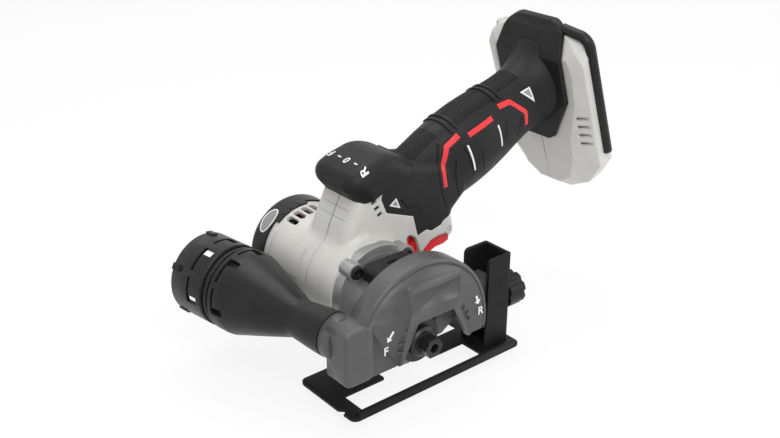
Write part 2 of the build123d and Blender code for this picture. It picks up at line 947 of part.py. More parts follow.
def neck_form(inset):
    """Neck and trigger housing with rounded flanks, inset from its outer skin."""
    with BuildPart() as made:
        with BuildSketch(side_plane(part_y - neck_half_w + inset)) as profile:
            with BuildLine():
                Polyline(neck_outline, close=True)
            make_face()
            fillet(profile.vertices(), neck_corner)
            if inset > 0:
                offset(amount=-inset)
        extrude(amount=-2 * (neck_half_w - inset))
        flanks = made.edges().group_by(Axis.Y)
        fillet(flanks[0] + flanks[-1], neck_round - inset)
    return made.part


def handle_form(inset):
    """Neck and grip in one piece, inset from their outer skin."""
    with BuildPart() as made:
        add(neck_form(inset))
        add(grip_form(inset))
    return made.part


foot_halves = [
    (foot_u_front, [
        (front_top_w, front_top_v), (front_side_w, front_shoulder_v), (front_side_w, front_side_v),
        (front_side_w, front_hip_v), (front_chin_w, front_chin_v), (front_low_w, front_low_v),
    ]),
    (foot_u_wing, [
        (wing_top_w, wing_top_v), (wing_shoulder_w, wing_shoulder_v), (foot_half_w, wing_side_v),
        (foot_half_w, foot_hip_v), (foot_chin_w, foot_chin_v), (foot_low_w, foot_low_v),
    ]),
    (foot_u_rear, [
        (foot_top_w, foot_top_v), (foot_shoulder_w, foot_shoulder_v), (foot_half_w, foot_side_v),
        (foot_half_w, foot_hip_v), (foot_chin_w, foot_chin_v), (foot_low_w, foot_low_v),
    ]),
]


def foot_section(u):
    """Outline of the battery foot at station u, between its front, wing and rear outlines."""
    first, last = (0, 1) if u < foot_u_wing else (1, 2)
    u0, front = foot_halves[first]
    u1, rear = foot_halves[last]
    share = min((u - u0) / (u1 - u0), 1)
    half = [(a + share * (c - a), b + share * (d - b)) for (a, b), (c, d) in zip(front, rear)]
    return half + [(-w, v) for w, v in reversed(half)]


def foot_span(u0, u1, grow):
    """Battery foot between two stations, grown or shrunk by an even amount."""
    with BuildPart() as made:
        for u in (u0, u1):
            with BuildSketch(foot_plane(u)):
                with BuildLine():
                    Polyline(foot_section(u), close=True)
                make_face()
                if grow != 0:
                    offset(amount=grow, kind=Kind.INTERSECTION)
        loft(ruled=True)
    return made.part


panel_front = [
    (panel_low_u, panel_low_v), (panel_side_u, panel_side_v), (panel_waist_u, panel_waist_v),
    (panel_shoulder_u, panel_shoulder_v), (panel_top_u, panel_top_v),
]


def panel_form():
    """Front panel of the foot: a ten-sided plate bent back at its top, standing proud of the foot."""
    half = [
        (panel_top_half_w, panel_top_v), (panel_shoulder_half_w, panel_shoulder_v),
        (panel_half_w, panel_waist_v), (panel_half_w, panel_side_v), (panel_low_half_w, panel_low_v),
    ]
    with BuildPart() as made:
        with BuildSketch(foot_plane(panel_low_u - 1)) as face:
            with BuildLine():
                Polyline(half + [(-w, v) for w, v in reversed(half)], close=True)
            make_face()
            fillet(face.vertices(), panel_corner)
        extrude(amount=foot_u_rear - panel_low_u + 1)
        with BuildSketch(foot_side_plane(-2 * panel_half_w)):
            with BuildLine():
                Polyline(panel_front + [(u + panel_t, v) for u, v in reversed(panel_front)], close=True)
            make_face()
        extrude(amount=-4 * panel_half_w, mode=Mode.INTERSECT)
    return made.part


def bumper_form():
    """Two corner bumpers round the rear rim of the foot."""
    u0 = foot_u_rear + bumper_proud - bumper_t
    with BuildPart() as made:
        add(foot_span(u0, u0 + bumper_t, bumper_proud))
        add(foot_span(u0 - 1, u0 + bumper_t + 1, bumper_proud - bumper_w), mode=Mode.SUBTRACT)
        with BuildSketch(foot_plane(u0 - 1)):
            with Locations((0, bumper_low_v)):
                Rectangle(4 * foot_half_w, 2 * foot_half_w, align=(Align.CENTER, Align.MAX))
            with Locations((0, foot_top_v)):
                Rectangle(2 * bumper_gap_half, foot_half_w)
        extrude(amount=bumper_t + 2, mode=Mode.SUBTRACT)
    return made.part


# Soft cover of the neck and grip, in the two halves of the clamshell
cover_edge = [
    (neck_crown_x / 2, neck_crown_z + neck_half_w), (neck_crown_x / 2 - 1.4, neck_peak_z),
    (neck_crown_x / 2 - 3.6, neck_brow_z + 0.7), (neck_crown_x / 2, neck_brow_z - 8.1),
    (keel_x, neck_tail_z - 4), (lever_x + 1.9, lever_z + 4.1), (lever_x + 8.3, lever_z + 5.9),
    (lever_x + 12.4, lever_z + 4.1), (trigger_x - 6.6, trigger_z + 4.7), (trigger_x - 5, trigger_z + 6.6),
    (trigger_x, trigger_z + 8.9), (throat_x + 3, throat_z + 1),
    (handle_x + 13, keel_x), (2 * handle_x, chin_x), (2 * handle_x, 2 * handle_z), (chin_x, 2 * handle_z),
]


def behind_panel(setback):
    """Everything further back than the front of the panel by a setback."""
    far = 4 * foot_half_w
    with BuildPart() as made:
        with BuildSketch(foot_side_plane(-2 * foot_half_w)):
            with BuildLine():
                Polyline(
                    [(panel_low_u + setback, -far)] + [(u + setback, v) for u, v in panel_front]
                    + [(panel_top_u + setback, far), (2 * foot_u_rear, far), (2 * foot_u_rear, -far)],
                    close=True,
                )
            make_face()
        extrude(amount=-4 * foot_half_w)
    return made.part


def band(points, width):
    """Side-view stripe of even width along a line, carried right through the handle."""
    with BuildPart() as made:
        with BuildSketch(side_plane(part_y - 2 * neck_half_w)):
            with BuildLine() as line:
                Polyline(points)
            trace(line.line, line_width=width)
        extrude(amount=-4 * neck_half_w)
    return made.part


stripes = [
    [(69.7, 82.7), (61.1, 77.8), (56.1, 66.4), (58.1, 55.2)],
    [(93.6, 88.1), (75.4, 82.0)],
    [(100.1, 92.7), (108.9, 94.0), (119.6, 86.4), (121.5, 77.8)],
]
slits = [[(96.5, 83.8), (99.4, 70.6)], [(73.3, 77.0), (78.6, 61.0)]]

full_handle = handle_form(0)
under_cover = handle_form(overmould_t)
panel_solid = panel_form()
bumper_solid = bumper_form()

with BuildPart() as inlay_skin:
    add(full_handle)
    add(handle_form(inlay_t), mode=Mode.SUBTRACT)

with BuildPart() as grip_stripes:
    for points in stripes:
        add(band(points, stripe_w))
    add(inlay_skin.part, mode=Mode.INTERSECT)
write(grip_stripes, "grip_stripes")

with BuildPart() as grip_slits:
    for points in slits:
        add(band(points, slit_w))
    add(inlay_skin.part, mode=Mode.INTERSECT)
write(grip_slits, "grip_slits")

with BuildPart() as cover:
    add(full_handle)
    add(prism(cover_edge, part_y - 2 * neck_half_w, part_y + 2 * neck_half_w), mode=Mode.INTERSECT)
    add(under_cover, mode=Mode.SUBTRACT)
    add(behind_panel(0), mode=Mode.SUBTRACT)

upper_foot_screw = foot_point(foot_u_rear - rail_t * 2, recess_top_v + recess_depth - 1.5, 0)
lower_foot_screw = foot_point(foot_u_front + recess_depth / 2 - 1, foot_hip_v, 0)
shell_screw_places = [
    (neck_brow_x + 11, neck_brow_z + 6.6), (keel_x - 7, neck_front_z + 9.3), (chin_x, neck_back_z - 8),
    (handle_x - 2, handle_z + 8.5), (handle_x + 27, handle_z + 1.5),
    (upper_foot_screw[0], upper_foot_screw[2]), (lower_foot_screw[0], lower_foot_screw[2]),
]
screw_seat_y = part_y + shell_screw_len / 2

with BuildPart() as screw_bores:
    with BuildSketch(side_plane(screw_seat_y)):
        with Locations(*shell_screw_places):
            Circle(shell_screw_head_r + slide_gap)
    extrude(amount=-2 * foot_half_w)
    with BuildSketch(side_plane(part_y - shell_screw_len / 2)):
        with Locations(*shell_screw_places):
            Circle(shell_screw_r + fit_gap)
    extrude(amount=-shell_screw_len)

with BuildPart() as grip_left:
    add(cover.part)
    add(grip_stripes.part, mode=Mode.SUBTRACT)
    add(grip_slits.part, mode=Mode.SUBTRACT)
    split(bisect_by=side_plane(part_y), keep=Keep.TOP)
write(grip_left, "grip_left")

with BuildPart() as grip_right:
    add(cover.part)
    add(grip_stripes.part, mode=Mode.SUBTRACT)
    add(grip_slits.part, mode=Mode.SUBTRACT)
    add(screw_bores.part, mode=Mode.SUBTRACT)
    split(bisect_by=side_plane(part_y), keep=Keep.BOTTOM)
write(grip_right, "grip_right")

with BuildPart() as foot_panel:
    add(panel_solid)
    add(under_cover, mode=Mode.SUBTRACT)
    add(bumper_solid, mode=Mode.SUBTRACT)
write(foot_panel, "foot_panel")

with BuildPart() as foot_bumpers:
    add(bumper_solid)
write(foot_bumpers, "foot_bumpers")

# Clamshell: outer mass, hollow, then ribs and bosses, then openings
barrel_inner = barrel_r - shell_wall
floor_u = foot_u_rear - recess_depth

with BuildPart() as mass:
    add(foot_span(foot_u_front, foot_u_wing, 0))
    add(foot_span(foot_u_wing, foot_u_rear, 0))
    add(behind_panel(panel_setback), mode=Mode.INTERSECT)
    add(bar(0, motor_z, barrel_r, barrel_y, barrel_end))
    add(full_handle)
    add(cover.part, mode=Mode.SUBTRACT)
    add(foot_panel.part, mode=Mode.SUBTRACT)
    add(bumper_solid, mode=Mode.SUBTRACT)

shelf_z = lever_z + 2 * hub_r + 1
rib_y0 = lever_hub_half_w + slide_gap


def lever_ribs():
    """Two ribs that hang from the shelf over the lever and carry its pin."""
    with BuildPart() as made:
        for y in (part_y - rib_y0 - lever_rib_t, part_y + rib_y0):
            with BuildSketch(side_plane(y)):
                with Locations((lever_x, lever_z)):
                    Circle(hub_r + 1)
                    Rectangle(2 * hub_r, shelf_z - lever_z + hub_r, align=(Align.CENTER, Align.MIN))
            extrude(amount=-lever_rib_t)
    return made.part


with BuildPart() as works:
    for y in (barrel_y + barrel_len / 6, barrel_end - barrel_len / 4):
        with BuildSketch(side_plane(y)):
            with Locations((0, motor_z)):
                Circle(barrel_inner + shell_wall / 2)
                Circle(can_r + fit_gap, mode=Mode.SUBTRACT)
                Rectangle(2 * (tab_x + 2 * lead_r), 4 * barrel_r, mode=Mode.SUBTRACT)
        extrude(amount=-rib_t)
    with BuildSketch(side_plane(barrel_y)):
        with Locations(*ear_places):
            Circle(ear_r - slide_gap)
        with Locations((0, motor_z)):
            Circle(can_r + slide_gap, mode=Mode.SUBTRACT)
    extrude(amount=barrel_y - case_seat_y - case_screw_len - rib_t)
    with BuildSketch(side_plane(part_y - shell_screw_len)):
        with Locations(*shell_screw_places):
            Circle(shell_screw_head_r + slide_gap + 1)
    extrude(amount=-2 * shell_screw_len)
    with BuildSketch(side_plane(part_y - neck_half_w)):
        with Locations((trigger_x, trigger_z)):
            Circle(hub_r + 1)
        with Locations((lever_x, shelf_z)):
            Rectangle(3 * hub_r, hub_r, align=(Align.CENTER, Align.MIN))
    extrude(amount=-2 * neck_half_w)
    add(lever_ribs())
    with BuildSketch(side_plane(part_y - neck_half_w)):
        with Locations((switch_x0 + switch_len / 2, switch_z0 + switch_h / 2)):
            Rectangle(switch_len - 2 * rib_t, switch_h - 2 * rib_t)
            Rectangle(switch_len - 4 * rib_t, switch_h - 4 * rib_t, mode=Mode.SUBTRACT)
    extrude(amount=-2 * neck_half_w)
    with BuildSketch(side_plane(part_y - switch_half_w - fit_gap)):
        with Locations((switch_x0 + switch_len / 2, switch_z0 + switch_h / 2)):
            Rectangle(switch_len + rib_t, switch_h + rib_t)
    extrude(amount=-2 * (switch_half_w + fit_gap), mode=Mode.SUBTRACT)
    add(mass.part, mode=Mode.INTERSECT)

slot_x0 = lever_x - slot_front
slot_x1 = trigger_x + hub_r + slide_gap
below = -keel_x
trigger_slot = [
    (slot_x0, below), (slot_x0, lever_z), (lever_x - 4.6, lever_z + 5.6), (lever_x + 2, lever_z + 5.6),
    (lever_x + 7, lever_z + 3), (trigger_x - 14, trigger_z + 2.5), (trigger_x - 8, trigger_z + 4.2),
    (trigger_x, trigger_z + hub_r + 1), (slot_x1, trigger_z + 0.5), (slot_x1 + 0.6, trigger_z - 3.5),
    (heel_x + hub_r, trigger_z - 3.5), (heel_x + hub_r, below),
]
wedge_x = lever_x + 4.6
wedge_z = lever_z - 7.7
trigger_window = [
    (wedge_x, wedge_z), (trigger_x - 18.7, trigger_z - 6.5), (trigger_x - 14.7, trigger_z - 3.1),
    (trigger_x - 9.8, trigger_z - 1.8), (trigger_x - 2.7, trigger_z - 1.8), (trigger_x - 1, trigger_z - 3.5),
    (trigger_x + 2.5, trigger_z - 3.5), (heel_x + hub_r, trigger_z - 1.5), (heel_x + hub_r, below),
    (wedge_x, below),
]
lever_window = [
    (lever_x - 6.1, lever_z + 5), (lever_x - 4.1, lever_z + 6.1), (lever_x + 0.3, lever_z + 3.4),
    (lever_x + 1.9, lever_z + 0.2), (wedge_x, wedge_z), (wedge_x, below), (lever_x - 4.5, below),
    (lever_x - 4.8, wedge_z),
]

with BuildPart() as openings:
    add(prism(trigger_slot, part_y - trigger_half_w - slide_gap, part_y + trigger_half_w + slide_gap))
    add(prism(trigger_window, part_y - 2 * neck_half_w, part_y + 2 * neck_half_w))
    add(prism(lever_window, part_y - 2 * neck_half_w, part_y + 2 * neck_half_w))
    add(lever_ribs(), mode=Mode.SUBTRACT)
    add(bar(trigger_x, trigger_z, pin_r + fit_gap, part_y - 2 * neck_half_w, part_y + 2 * neck_half_w))
    add(bar(lever_x, lever_z, pin_r + fit_gap, part_y - lever_pin_half, part_y + lever_pin_half))
    with BuildSketch(side_plane(part_y - 2 * neck_half_w)):
        for step in range(neck_vents):
            with Locations((neck_vent_x + step * neck_vent_step_x, neck_vent_z + step * neck_vent_step_z)):
                Rectangle(neck_vent_w, neck_vent_h, rotation=handle_tilt)
    extrude(amount=-4 * neck_half_w)
    add(screw_bores.part)
    with BuildSketch(side_plane(barrel_y)):
        with Locations(*ear_places):
            Circle(case_screw_r + fit_gap)
    extrude(amount=barrel_y - case_seat_y - case_screw_len - 1)
    for step in range(barrel_vents):
        turn = radians(barrel_vent_from + step * barrel_vent_step)
        vent_centre = (0, barrel_end - barrel_vent_len, motor_z)
        with BuildSketch(Plane(origin=vent_centre, x_dir=(0, 1, 0), z_dir=(cos(turn), 0, sin(turn)))):
            SlotOverall(barrel_vent_len, barrel_vent_w)
        extrude(amount=barrel_r + shell_wall)
    with BuildSketch(foot_plane(floor_u)):
        with Locations((0, recess_top_v)):
            Rectangle(2 * recess_half_w, 4 * foot_half_w, align=(Align.CENTER, Align.MAX))
    extrude(amount=recess_depth - rail_t)
    with BuildSketch(foot_plane(foot_u_rear - rail_t)):
        with Locations((0, recess_top_v)):
            Rectangle(2 * (recess_half_w - rail_lip), 4 * foot_half_w, align=(Align.CENTER, Align.MAX))
    extrude(amount=2 * rail_t)
    with BuildSketch(foot_plane(floor_u - 2 * foot_wall)):
        with Locations((-tab_x, block_v + block_h / 2), (tab_x, block_v + block_h / 2)):
            Circle(lead_r + fit_gap)
    extrude(amount=2 * foot_wall)
    for step in range(foot_vents):
        with BuildSketch(foot_plane(foot_u_front + foot_wall)):
            with Locations((-foot_half_w, foot_vent_v + step * foot_vent_step)):
                Rectangle(foot_half_w, foot_vent_w)
        extrude(amount=1.5 * foot_vent_w)

with BuildPart() as clamshell:
    add(mass.part)
    add(bar(0, motor_z, barrel_inner, barrel_y, barrel_end), mode=Mode.SUBTRACT)
    add(handle_form(overmould_t + shell_wall), mode=Mode.SUBTRACT)
    add(works.part)
    add(openings.part, mode=Mode.SUBTRACT)

with BuildPart() as housing_left:
    add(clamshell.part)
    split(bisect_by=side_plane(part_y), keep=Keep.TOP)
write(housing_left, "housing_left")

with BuildPart() as housing_right:
    add(clamshell.part)
    split(bisect_by=side_plane(part_y), keep=Keep.BOTTOM)
write(housing_right, "housing_right")

with BuildPart() as housing_screws:
    for x, z in shell_screw_places:
        add(screw(x, z, shell_screw_head_r, shell_screw_head_t, shell_screw_r, shell_screw_len,
                  screw_seat_y, -1))
write(housing_screws, "housing_screws")

# Pommel cap over the neck, and the direction selector in its rear slope
slope_run = ((pommel_tail_x - pommel_slope_x) ** 2 + (pommel_slope_z - pommel_tail_z) ** 2) ** 0.5
slope_normal = ((pommel_slope_z - pommel_tail_z) / slope_run, 0, (pommel_tail_x - pommel_slope_x) / slope_run)
slope_middle = ((pommel_slope_x + pommel_tail_x) / 2, part_y, (pommel_slope_z + pommel_tail_z) / 2)
slope_plane = Plane(origin=slope_middle, x_dir=(0, 1, 0), z_dir=slope_normal)
dome_outline = [
    (neck_brow_x + 2, neck_brow_z + 0.5), (pommel_nose_x, pommel_nose_z),
    (pommel_nose_x + 13, pommel_nose_z + 6.3), (pommel_top_x, pommel_top_z),
    (pommel_slope_x, pommel_slope_z), (pommel_tail_x, pommel_tail_z),
]

with BuildPart() as pommel_cap:
    with BuildSketch(side_plane(part_y - pommel_half_w)) as dome:
        with BuildLine():
            Polyline(dome_outline, close=True)
        make_face()
        upper = dome.vertices().sort_by(Axis.X)
        fillet(upper[0], pommel_corner)
        crown = [corner for corner in dome.vertices() if corner.Y > pommel_nose_z + 4]
        fillet(crown, pommel_crown_r)
    extrude(amount=-2 * pommel_half_w)
    flanks = pommel_cap.edges().group_by(Axis.Y)
    rims = [rim for side in (flanks[0], flanks[-1]) for rim in side.sort_by(SortBy.LENGTH)[:-1]]
    fillet(rims, pommel_round)
    with BuildSketch(slope_plane):
        Rectangle(2 * (selector_half_len + selector_travel + slide_gap), selector_w + 2 * slide_gap)
    extrude(amount=-selector_pocket, mode=Mode.SUBTRACT)
    add(full_handle, mode=Mode.SUBTRACT)
write(pommel_cap, "pommel_cap")

with BuildPart() as selector_slide:
    with BuildSketch(slope_plane.offset(slide_gap - selector_pocket)):
        Rectangle(2 * selector_half_len, selector_w)
    extrude(amount=selector_pocket - slide_gap + selector_proud)
    with BuildSketch(slope_plane.offset(selector_proud)):
        with GridLocations(2 * selector_half_len / (selector_ridges + 1), 0, selector_ridges, 1):
            Rectangle(selector_proud / 2, 2 * selector_w)
    extrude(amount=-selector_proud / 2, mode=Mode.SUBTRACT)
write(selector_slide, "selector_slide")

# Motor end cap
cap_r = barrel_r + cap_proud
cap_end = barrel_end + cap_len
lip_r = barrel_inner - fit_gap
inset_turn = radians(inset_angle)
inset_out = (cos(inset_turn), 0, sin(inset_turn))
inset_plane = Plane(
    origin=(cap_r * inset_out[0], barrel_end + inset_y, motor_z + cap_r * inset_out[2]),
    x_dir=(0, 1, 0),
    z_dir=inset_out,
)

with BuildPart() as motor_end_cap:
    with BuildSketch(motor_turning):
        with BuildLine():
            Polyline(
                (lip_r - cap_lip_t, barrel_end - cap_lip), (lip_r, barrel_end - cap_lip), (lip_r, barrel_end),
                (cap_r, barrel_end), (cap_r, cap_end), (0, cap_end), (0, cap_end - cap_floor),
                (lip_r - cap_lip_t, cap_end - cap_floor), close=True,
            )
        make_face()
    revolve(axis=motor_axis)
    fillet(motor_end_cap.edges().group_by(Axis.Y)[-1], cap_round)
    with BuildSketch(side_plane(cap_end)):
        with Locations((0, motor_z)):
            with PolarLocations((cap_vent_in + cap_vent_out) / 2, cap_vents):
                SlotOverall(cap_vent_out - cap_vent_in, cap_vent_w)
    extrude(amount=cap_floor, mode=Mode.SUBTRACT)
    with BuildSketch(side_plane(barrel_end)):
        with Locations((0, motor_z)):
            with PolarLocations(barrel_r, cap_fingers, start_angle=barrel_vent_from + barrel_vent_step / 2,
                                angular_range=cap_fingers * barrel_vent_step):
                Rectangle(4 * cap_proud, cap_finger_w)
            Circle(cap_r, mode=Mode.INTERSECT)
            Circle(barrel_r + fit_gap, mode=Mode.SUBTRACT)
    extrude(amount=cap_finger_len)
    with BuildSketch(inset_plane):
        Ellipse(inset_w / 2, inset_len / 2)
    extrude(amount=-inset_depth, mode=Mode.SUBTRACT)
write(motor_end_cap, "motor_end_cap")

with BuildPart() as end_cap_inset:
    with BuildSketch(inset_plane):
        Ellipse(inset_w / 2 - fit_gap, inset_len / 2 - fit_gap)
    extrude(amount=-inset_depth)
    add(bar(0, motor_z, cap_r, barrel_end, cap_end), mode=Mode.INTERSECT)
write(end_cap_inset, "end_cap_inset")

# Guard with dust box, port and depth tongue
port_way = (-sin(radians(port_yaw)), cos(radians(port_yaw)), 0)
port_side = (cos(radians(port_yaw)), sin(radians(port_yaw)), 0)
port_centre = (port_x, port_y, port_z)
mouth = tuple(c + port_mouth * w for c, w in zip(port_centre, port_way))
port_root = tuple(c - port_back * w for c, w in zip(port_centre, port_way))
box_front_y = guard_front_y - box_proud
tongue_y0 = riser_y0 + sheet_t + slide_gap
tongue_y1 = riser_y0 + riser_w - sheet_t - slide_gap
stud_y = (tongue_y0 + tongue_y1) / 2
arch = [
    (arch_low_x0, 2 * guard_floor_z), (arch_low_x0, guard_floor_z), (arch_top_x0, arch_top_z),
    (arch_top_x1, arch_top_z), (arch_low_x1, guard_floor_z), (arch_low_x1, 2 * guard_floor_z),
]
pad_outline = [
    (arch_low_x0 - pad_rim, guard_floor_z), (arch_top_x0 - 2 * pad_rim, arch_top_z + 8.5),
    (pad_x0, pad_top_z - pad_rim), (pad_x0 + pad_rim, pad_top_z), (pad_x1 - pad_rim, pad_top_z - 1),
    (pad_x1, pad_top_z - 2 * pad_rim), (pad_x1, arch_top_z - 1), (arch_low_x1 + pad_rim, guard_floor_z),
]



def dust_box():
    """Outer block of the dust box with rounded front edges."""
    with BuildPart() as made:
        with BuildSketch(side_plane(box_front_y)) as face:
            with Locations(((box_x0 + box_x1) / 2, guard_floor_z)):
                Rectangle(box_x1 - box_x0, box_top_z - guard_floor_z, align=(Align.CENTER, Align.MIN))
            fillet(face.vertices(), box_round)
        extrude(amount=box_front_y - box_y1)
        fillet(made.edges().group_by(Axis.Y)[0], box_round / 2)
    return made.part


with BuildPart() as guard:
    with BuildSketch(side_plane(guard_front_y)):
        Circle(guard_r)
        with Locations((0, guard_floor_z)):
            Rectangle(4 * guard_r, 2 * guard_r, align=(Align.CENTER, Align.MAX), mode=Mode.SUBTRACT)
    extrude(amount=-guard_depth)
    fillet(guard.edges().filter_by(GeomType.CIRCLE).group_by(Axis.Y)[0], guard_round)
    with BuildSketch(side_plane(guard_front_y)):
        Circle(guard_r - guard_wall)
        Circle(guard_r - guard_wall - rim_groove, mode=Mode.SUBTRACT)
    extrude(amount=-rim_groove / 2, mode=Mode.SUBTRACT)
    add(dust_box())
    with BuildSketch(Plane(origin=port_root, x_dir=port_side, z_dir=port_way)):
        Circle(port_r)
    extrude(amount=port_back + port_mouth)
    with BuildSketch(Plane(origin=port_root, x_dir=port_side, z_dir=port_way)):
        Circle(port_r + port_collar)
    extrude(amount=port_back)
    with BuildSketch(side_plane(tongue_y0)):
        with Locations((tongue_x0, guard_floor_z)):
            Rectangle(tongue_x1 - tongue_x0, tongue_top_z - guard_floor_z, align=(Align.MIN, Align.MIN))
    extrude(amount=tongue_y0 - tongue_y1)
    with BuildSketch(side_plane(guard_front_y)):
        with BuildLine():
            Polyline(pad_outline, close=True)
        make_face()
    extrude(amount=pad_t)
    with BuildSketch(side_plane(guard_front_y - pad_t)):
        with Locations(((arch_top_x0 + arch_top_x1) / 2, arch_top_z + label_h)):
            Rectangle(arch_top_x1 - arch_top_x0 + 2 * label_margin, label_h)
    extrude(amount=-label_recess, mode=Mode.SUBTRACT)
    with BuildSketch(side_plane(guard_front_y + guard_wall)):
        Circle(guard_r - guard_wall)
    extrude(amount=guard_wall + guard_back_t - guard_depth, mode=Mode.SUBTRACT)
    with BuildSketch(side_plane(box_front_y + box_wall)):
        with Locations(((box_x0 + box_x1) / 2, guard_floor_z + box_wall)):
            Rectangle(box_x1 - box_x0 - 2 * box_wall, box_top_z - guard_floor_z - 2 * box_wall,
                      align=(Align.CENTER, Align.MIN))
    extrude(amount=box_front_y + 2 * box_wall - box_y1, mode=Mode.SUBTRACT)
    with BuildSketch(Plane(origin=port_root, x_dir=port_side, z_dir=port_way)):
        Circle(port_bore_r)
    extrude(amount=port_back + port_mouth, mode=Mode.SUBTRACT)
    with BuildSketch(side_plane(guard_front_y - 2 * pad_t)):
        with BuildLine():
            Polyline(arch, close=True)
        make_face()
    extrude(amount=-(guard_wall + 2 * pad_t), mode=Mode.SUBTRACT)
    with BuildSketch(side_plane(guard_back_y - guard_back_t)):
        Circle(guard_hole_r)
        with Locations(*guard_screw_places):
            Circle(small_screw_r + fit_gap)
    extrude(amount=-guard_back_t, mode=Mode.SUBTRACT)
    with BuildSketch(Plane.YZ.offset(tongue_x1 - stud_seat)):
        with Locations((stud_y, stud_z)):
            Circle(stud_r + fit_gap)
    extrude(amount=stud_seat, mode=Mode.SUBTRACT)
write(guard, "guard")

with BuildPart() as guard_screws:
    for x, z in guard_screw_places:
        add(screw(x, z, small_screw_head_r, small_screw_head_t / 2, small_screw_r, small_screw_len,
                  guard_back_y - guard_back_t, 1))
write(guard_screws, "guard_screws")

# Dust adapter: plugs into the port, steps up to the hose size
cone_end = adapter_tube_len + adapter_cone_len
drum_end = cone_end + adapter_drum_len
groove_end = drum_end + adapter_groove_len
adapter_end = groove_end + adapter_end_len
groove_r = adapter_r - adapter_groove_depth
adapter_turning = Plane(origin=mouth, x_dir=port_side, z_dir=(0, 0, 1))

with BuildPart() as dust_adapter:
    with BuildSketch(adapter_turning):
        with BuildLine():
            wall = adapter_wall
            middle = adapter_tube_len + adapter_cone_mid
            late = adapter_tube_len + adapter_cone_late
            Polyline((adapter_tube_r - wall, -adapter_plug_len), (adapter_tube_r, -adapter_plug_len),
                     (adapter_tube_r, fit_gap), (adapter_sleeve_r, fit_gap),
                     (adapter_sleeve_r, adapter_tube_len))
            Spline((adapter_sleeve_r, adapter_tube_len), (adapter_cone_mid_r, middle),
                   (adapter_cone_late_r, late), (adapter_r, cone_end), tangents=((0, 1), (0, 1)))
            Polyline((adapter_r, cone_end), (adapter_r, drum_end), (groove_r, drum_end),
                     (groove_r, groove_end), (adapter_r, groove_end), (adapter_r, adapter_end),
                     (adapter_r - wall, adapter_end),
                     (adapter_r - wall, groove_end + wall), (groove_r - wall, groove_end + wall),
                     (groove_r - wall, cone_end))
            Spline((groove_r - wall, cone_end), (adapter_cone_late_r - wall, late),
                   (adapter_cone_mid_r - wall, middle), (adapter_tube_r - wall, adapter_tube_len),
                   tangents=((0, -1), (0, -1)))
            Line((adapter_tube_r - wall, adapter_tube_len), (adapter_tube_r - wall, -adapter_plug_len))
        make_face()
    revolve(axis=Axis(mouth, port_way))
    for t, way in ((cone_end + 2 * wall, 1), (groove_end + 2 * wall, -1)):
        centre = tuple(m + t * w for m, w in zip(mouth, port_way))
        base = Plane(origin=centre, x_dir=port_side, z_dir=port_way)
        with BuildSketch(base):
            with PolarLocations(adapter_r, bayonet_slots):
                Rectangle(2 * bayonet_depth, 2 * bayonet_depth + wall)
        extrude(amount=4 * wall, mode=Mode.SUBTRACT)
        with BuildSketch(base.offset(3 * wall)):
            with PolarLocations(adapter_r, bayonet_slots, start_angle=8 * way):
                Rectangle(2 * bayonet_depth, 4 * wall)
        extrude(amount=wall, mode=Mode.SUBTRACT)
write(dust_adapter, "dust_adapter")

# Spindle lock button, its pin and spring
nose_top_z = nose_rear_z + nose_rear_r
lock_arc_r = nose_rear_r + lock_travel + lock_lift
lock_tip_z = lock_disc_r + lock_travel + lock_tip_gap

with BuildPart() as lock_button:
    with BuildSketch(side_plane(lock_y0)) as arch_face:
        with Locations((0, lock_side_z)):
            Rectangle(2 * lock_half_x, lock_top_z - lock_side_z, align=(Align.CENTER, Align.MIN))
        fillet(arch_face.vertices().group_by(Axis.Z)[-1], lock_corner)
        with Locations((0, nose_rear_z)):
            Circle(lock_arc_r, mode=Mode.SUBTRACT)
    extrude(amount=lock_y0 - lock_y1)
    with BuildSketch(Plane.XY.offset(lock_top_z)):
        with Locations((0, (lock_y0 + lock_y1) / 2)):
            SlotOverall(lock_hole_len, lock_hole_w)
    extrude(amount=-lock_hole_depth, mode=Mode.SUBTRACT)
    with BuildSketch(Plane.XY.offset(lock_pocket_z)):
        with Locations((0, lock_pin_y)):
            Circle(lock_spring_r + spring_wire_r + slide_gap)
    extrude(amount=lock_side_z - lock_pocket_z, mode=Mode.SUBTRACT)
    with BuildSketch(Plane.XY.offset(lock_tip_z)):
        with Locations((0, lock_pin_y)):
            Circle(lock_pin_r)
    extrude(amount=lock_pocket_z - lock_tip_z)
write(lock_button, "lock_button")

with BuildPart() as spindle_lock_spring:
    rise = lock_pocket_z - nose_top_z - 2 * spring_wire_r - 2 * fit_gap
    add(coil((0, lock_pin_y, nose_top_z + spring_wire_r + fit_gap), (0, 0, 1), lock_spring_r,
             rise / spring_turns, spring_turns, spring_wire_r))
write(spindle_lock_spring, "spindle_lock_spring")

# Trigger, lock-off lever, their pins and torsion springs
trigger_outline = [
    (trigger_x - 15, trigger_z - 17), (trigger_x - 16.6, trigger_z - 11), (trigger_x - 13, trigger_z - 3.5),
    (trigger_x - 8, trigger_z), (trigger_x, trigger_z + hub_r), (trigger_x + hub_r, trigger_z),
    (trigger_x + 3.6, trigger_z - 4.5), (trigger_x + 2.9, trigger_z - 9.4), (trigger_x - 1, trigger_z - 10.8),
    (trigger_x - 7, trigger_z - 11), (trigger_x - 11.4, trigger_z - 12.8),
]
lever_outline = [
    (lever_x - 1.9, lever_z - 14.5), (lever_x - 3.1, lever_z + 0.8), (lever_x - 1.6, lever_z + 3.7),
    (lever_x + 1.4, lever_z + 3.7), (lever_x + 3.9, lever_z + 0.5), (lever_x + 5.7, lever_z - 11),
    (lever_x + 4.7, lever_z - 13.9),
]
coil_r = pin_r + slide_gap + spring_wire_r
coil_pocket_r = coil_r + 2 * slide_gap + spring_wire_r

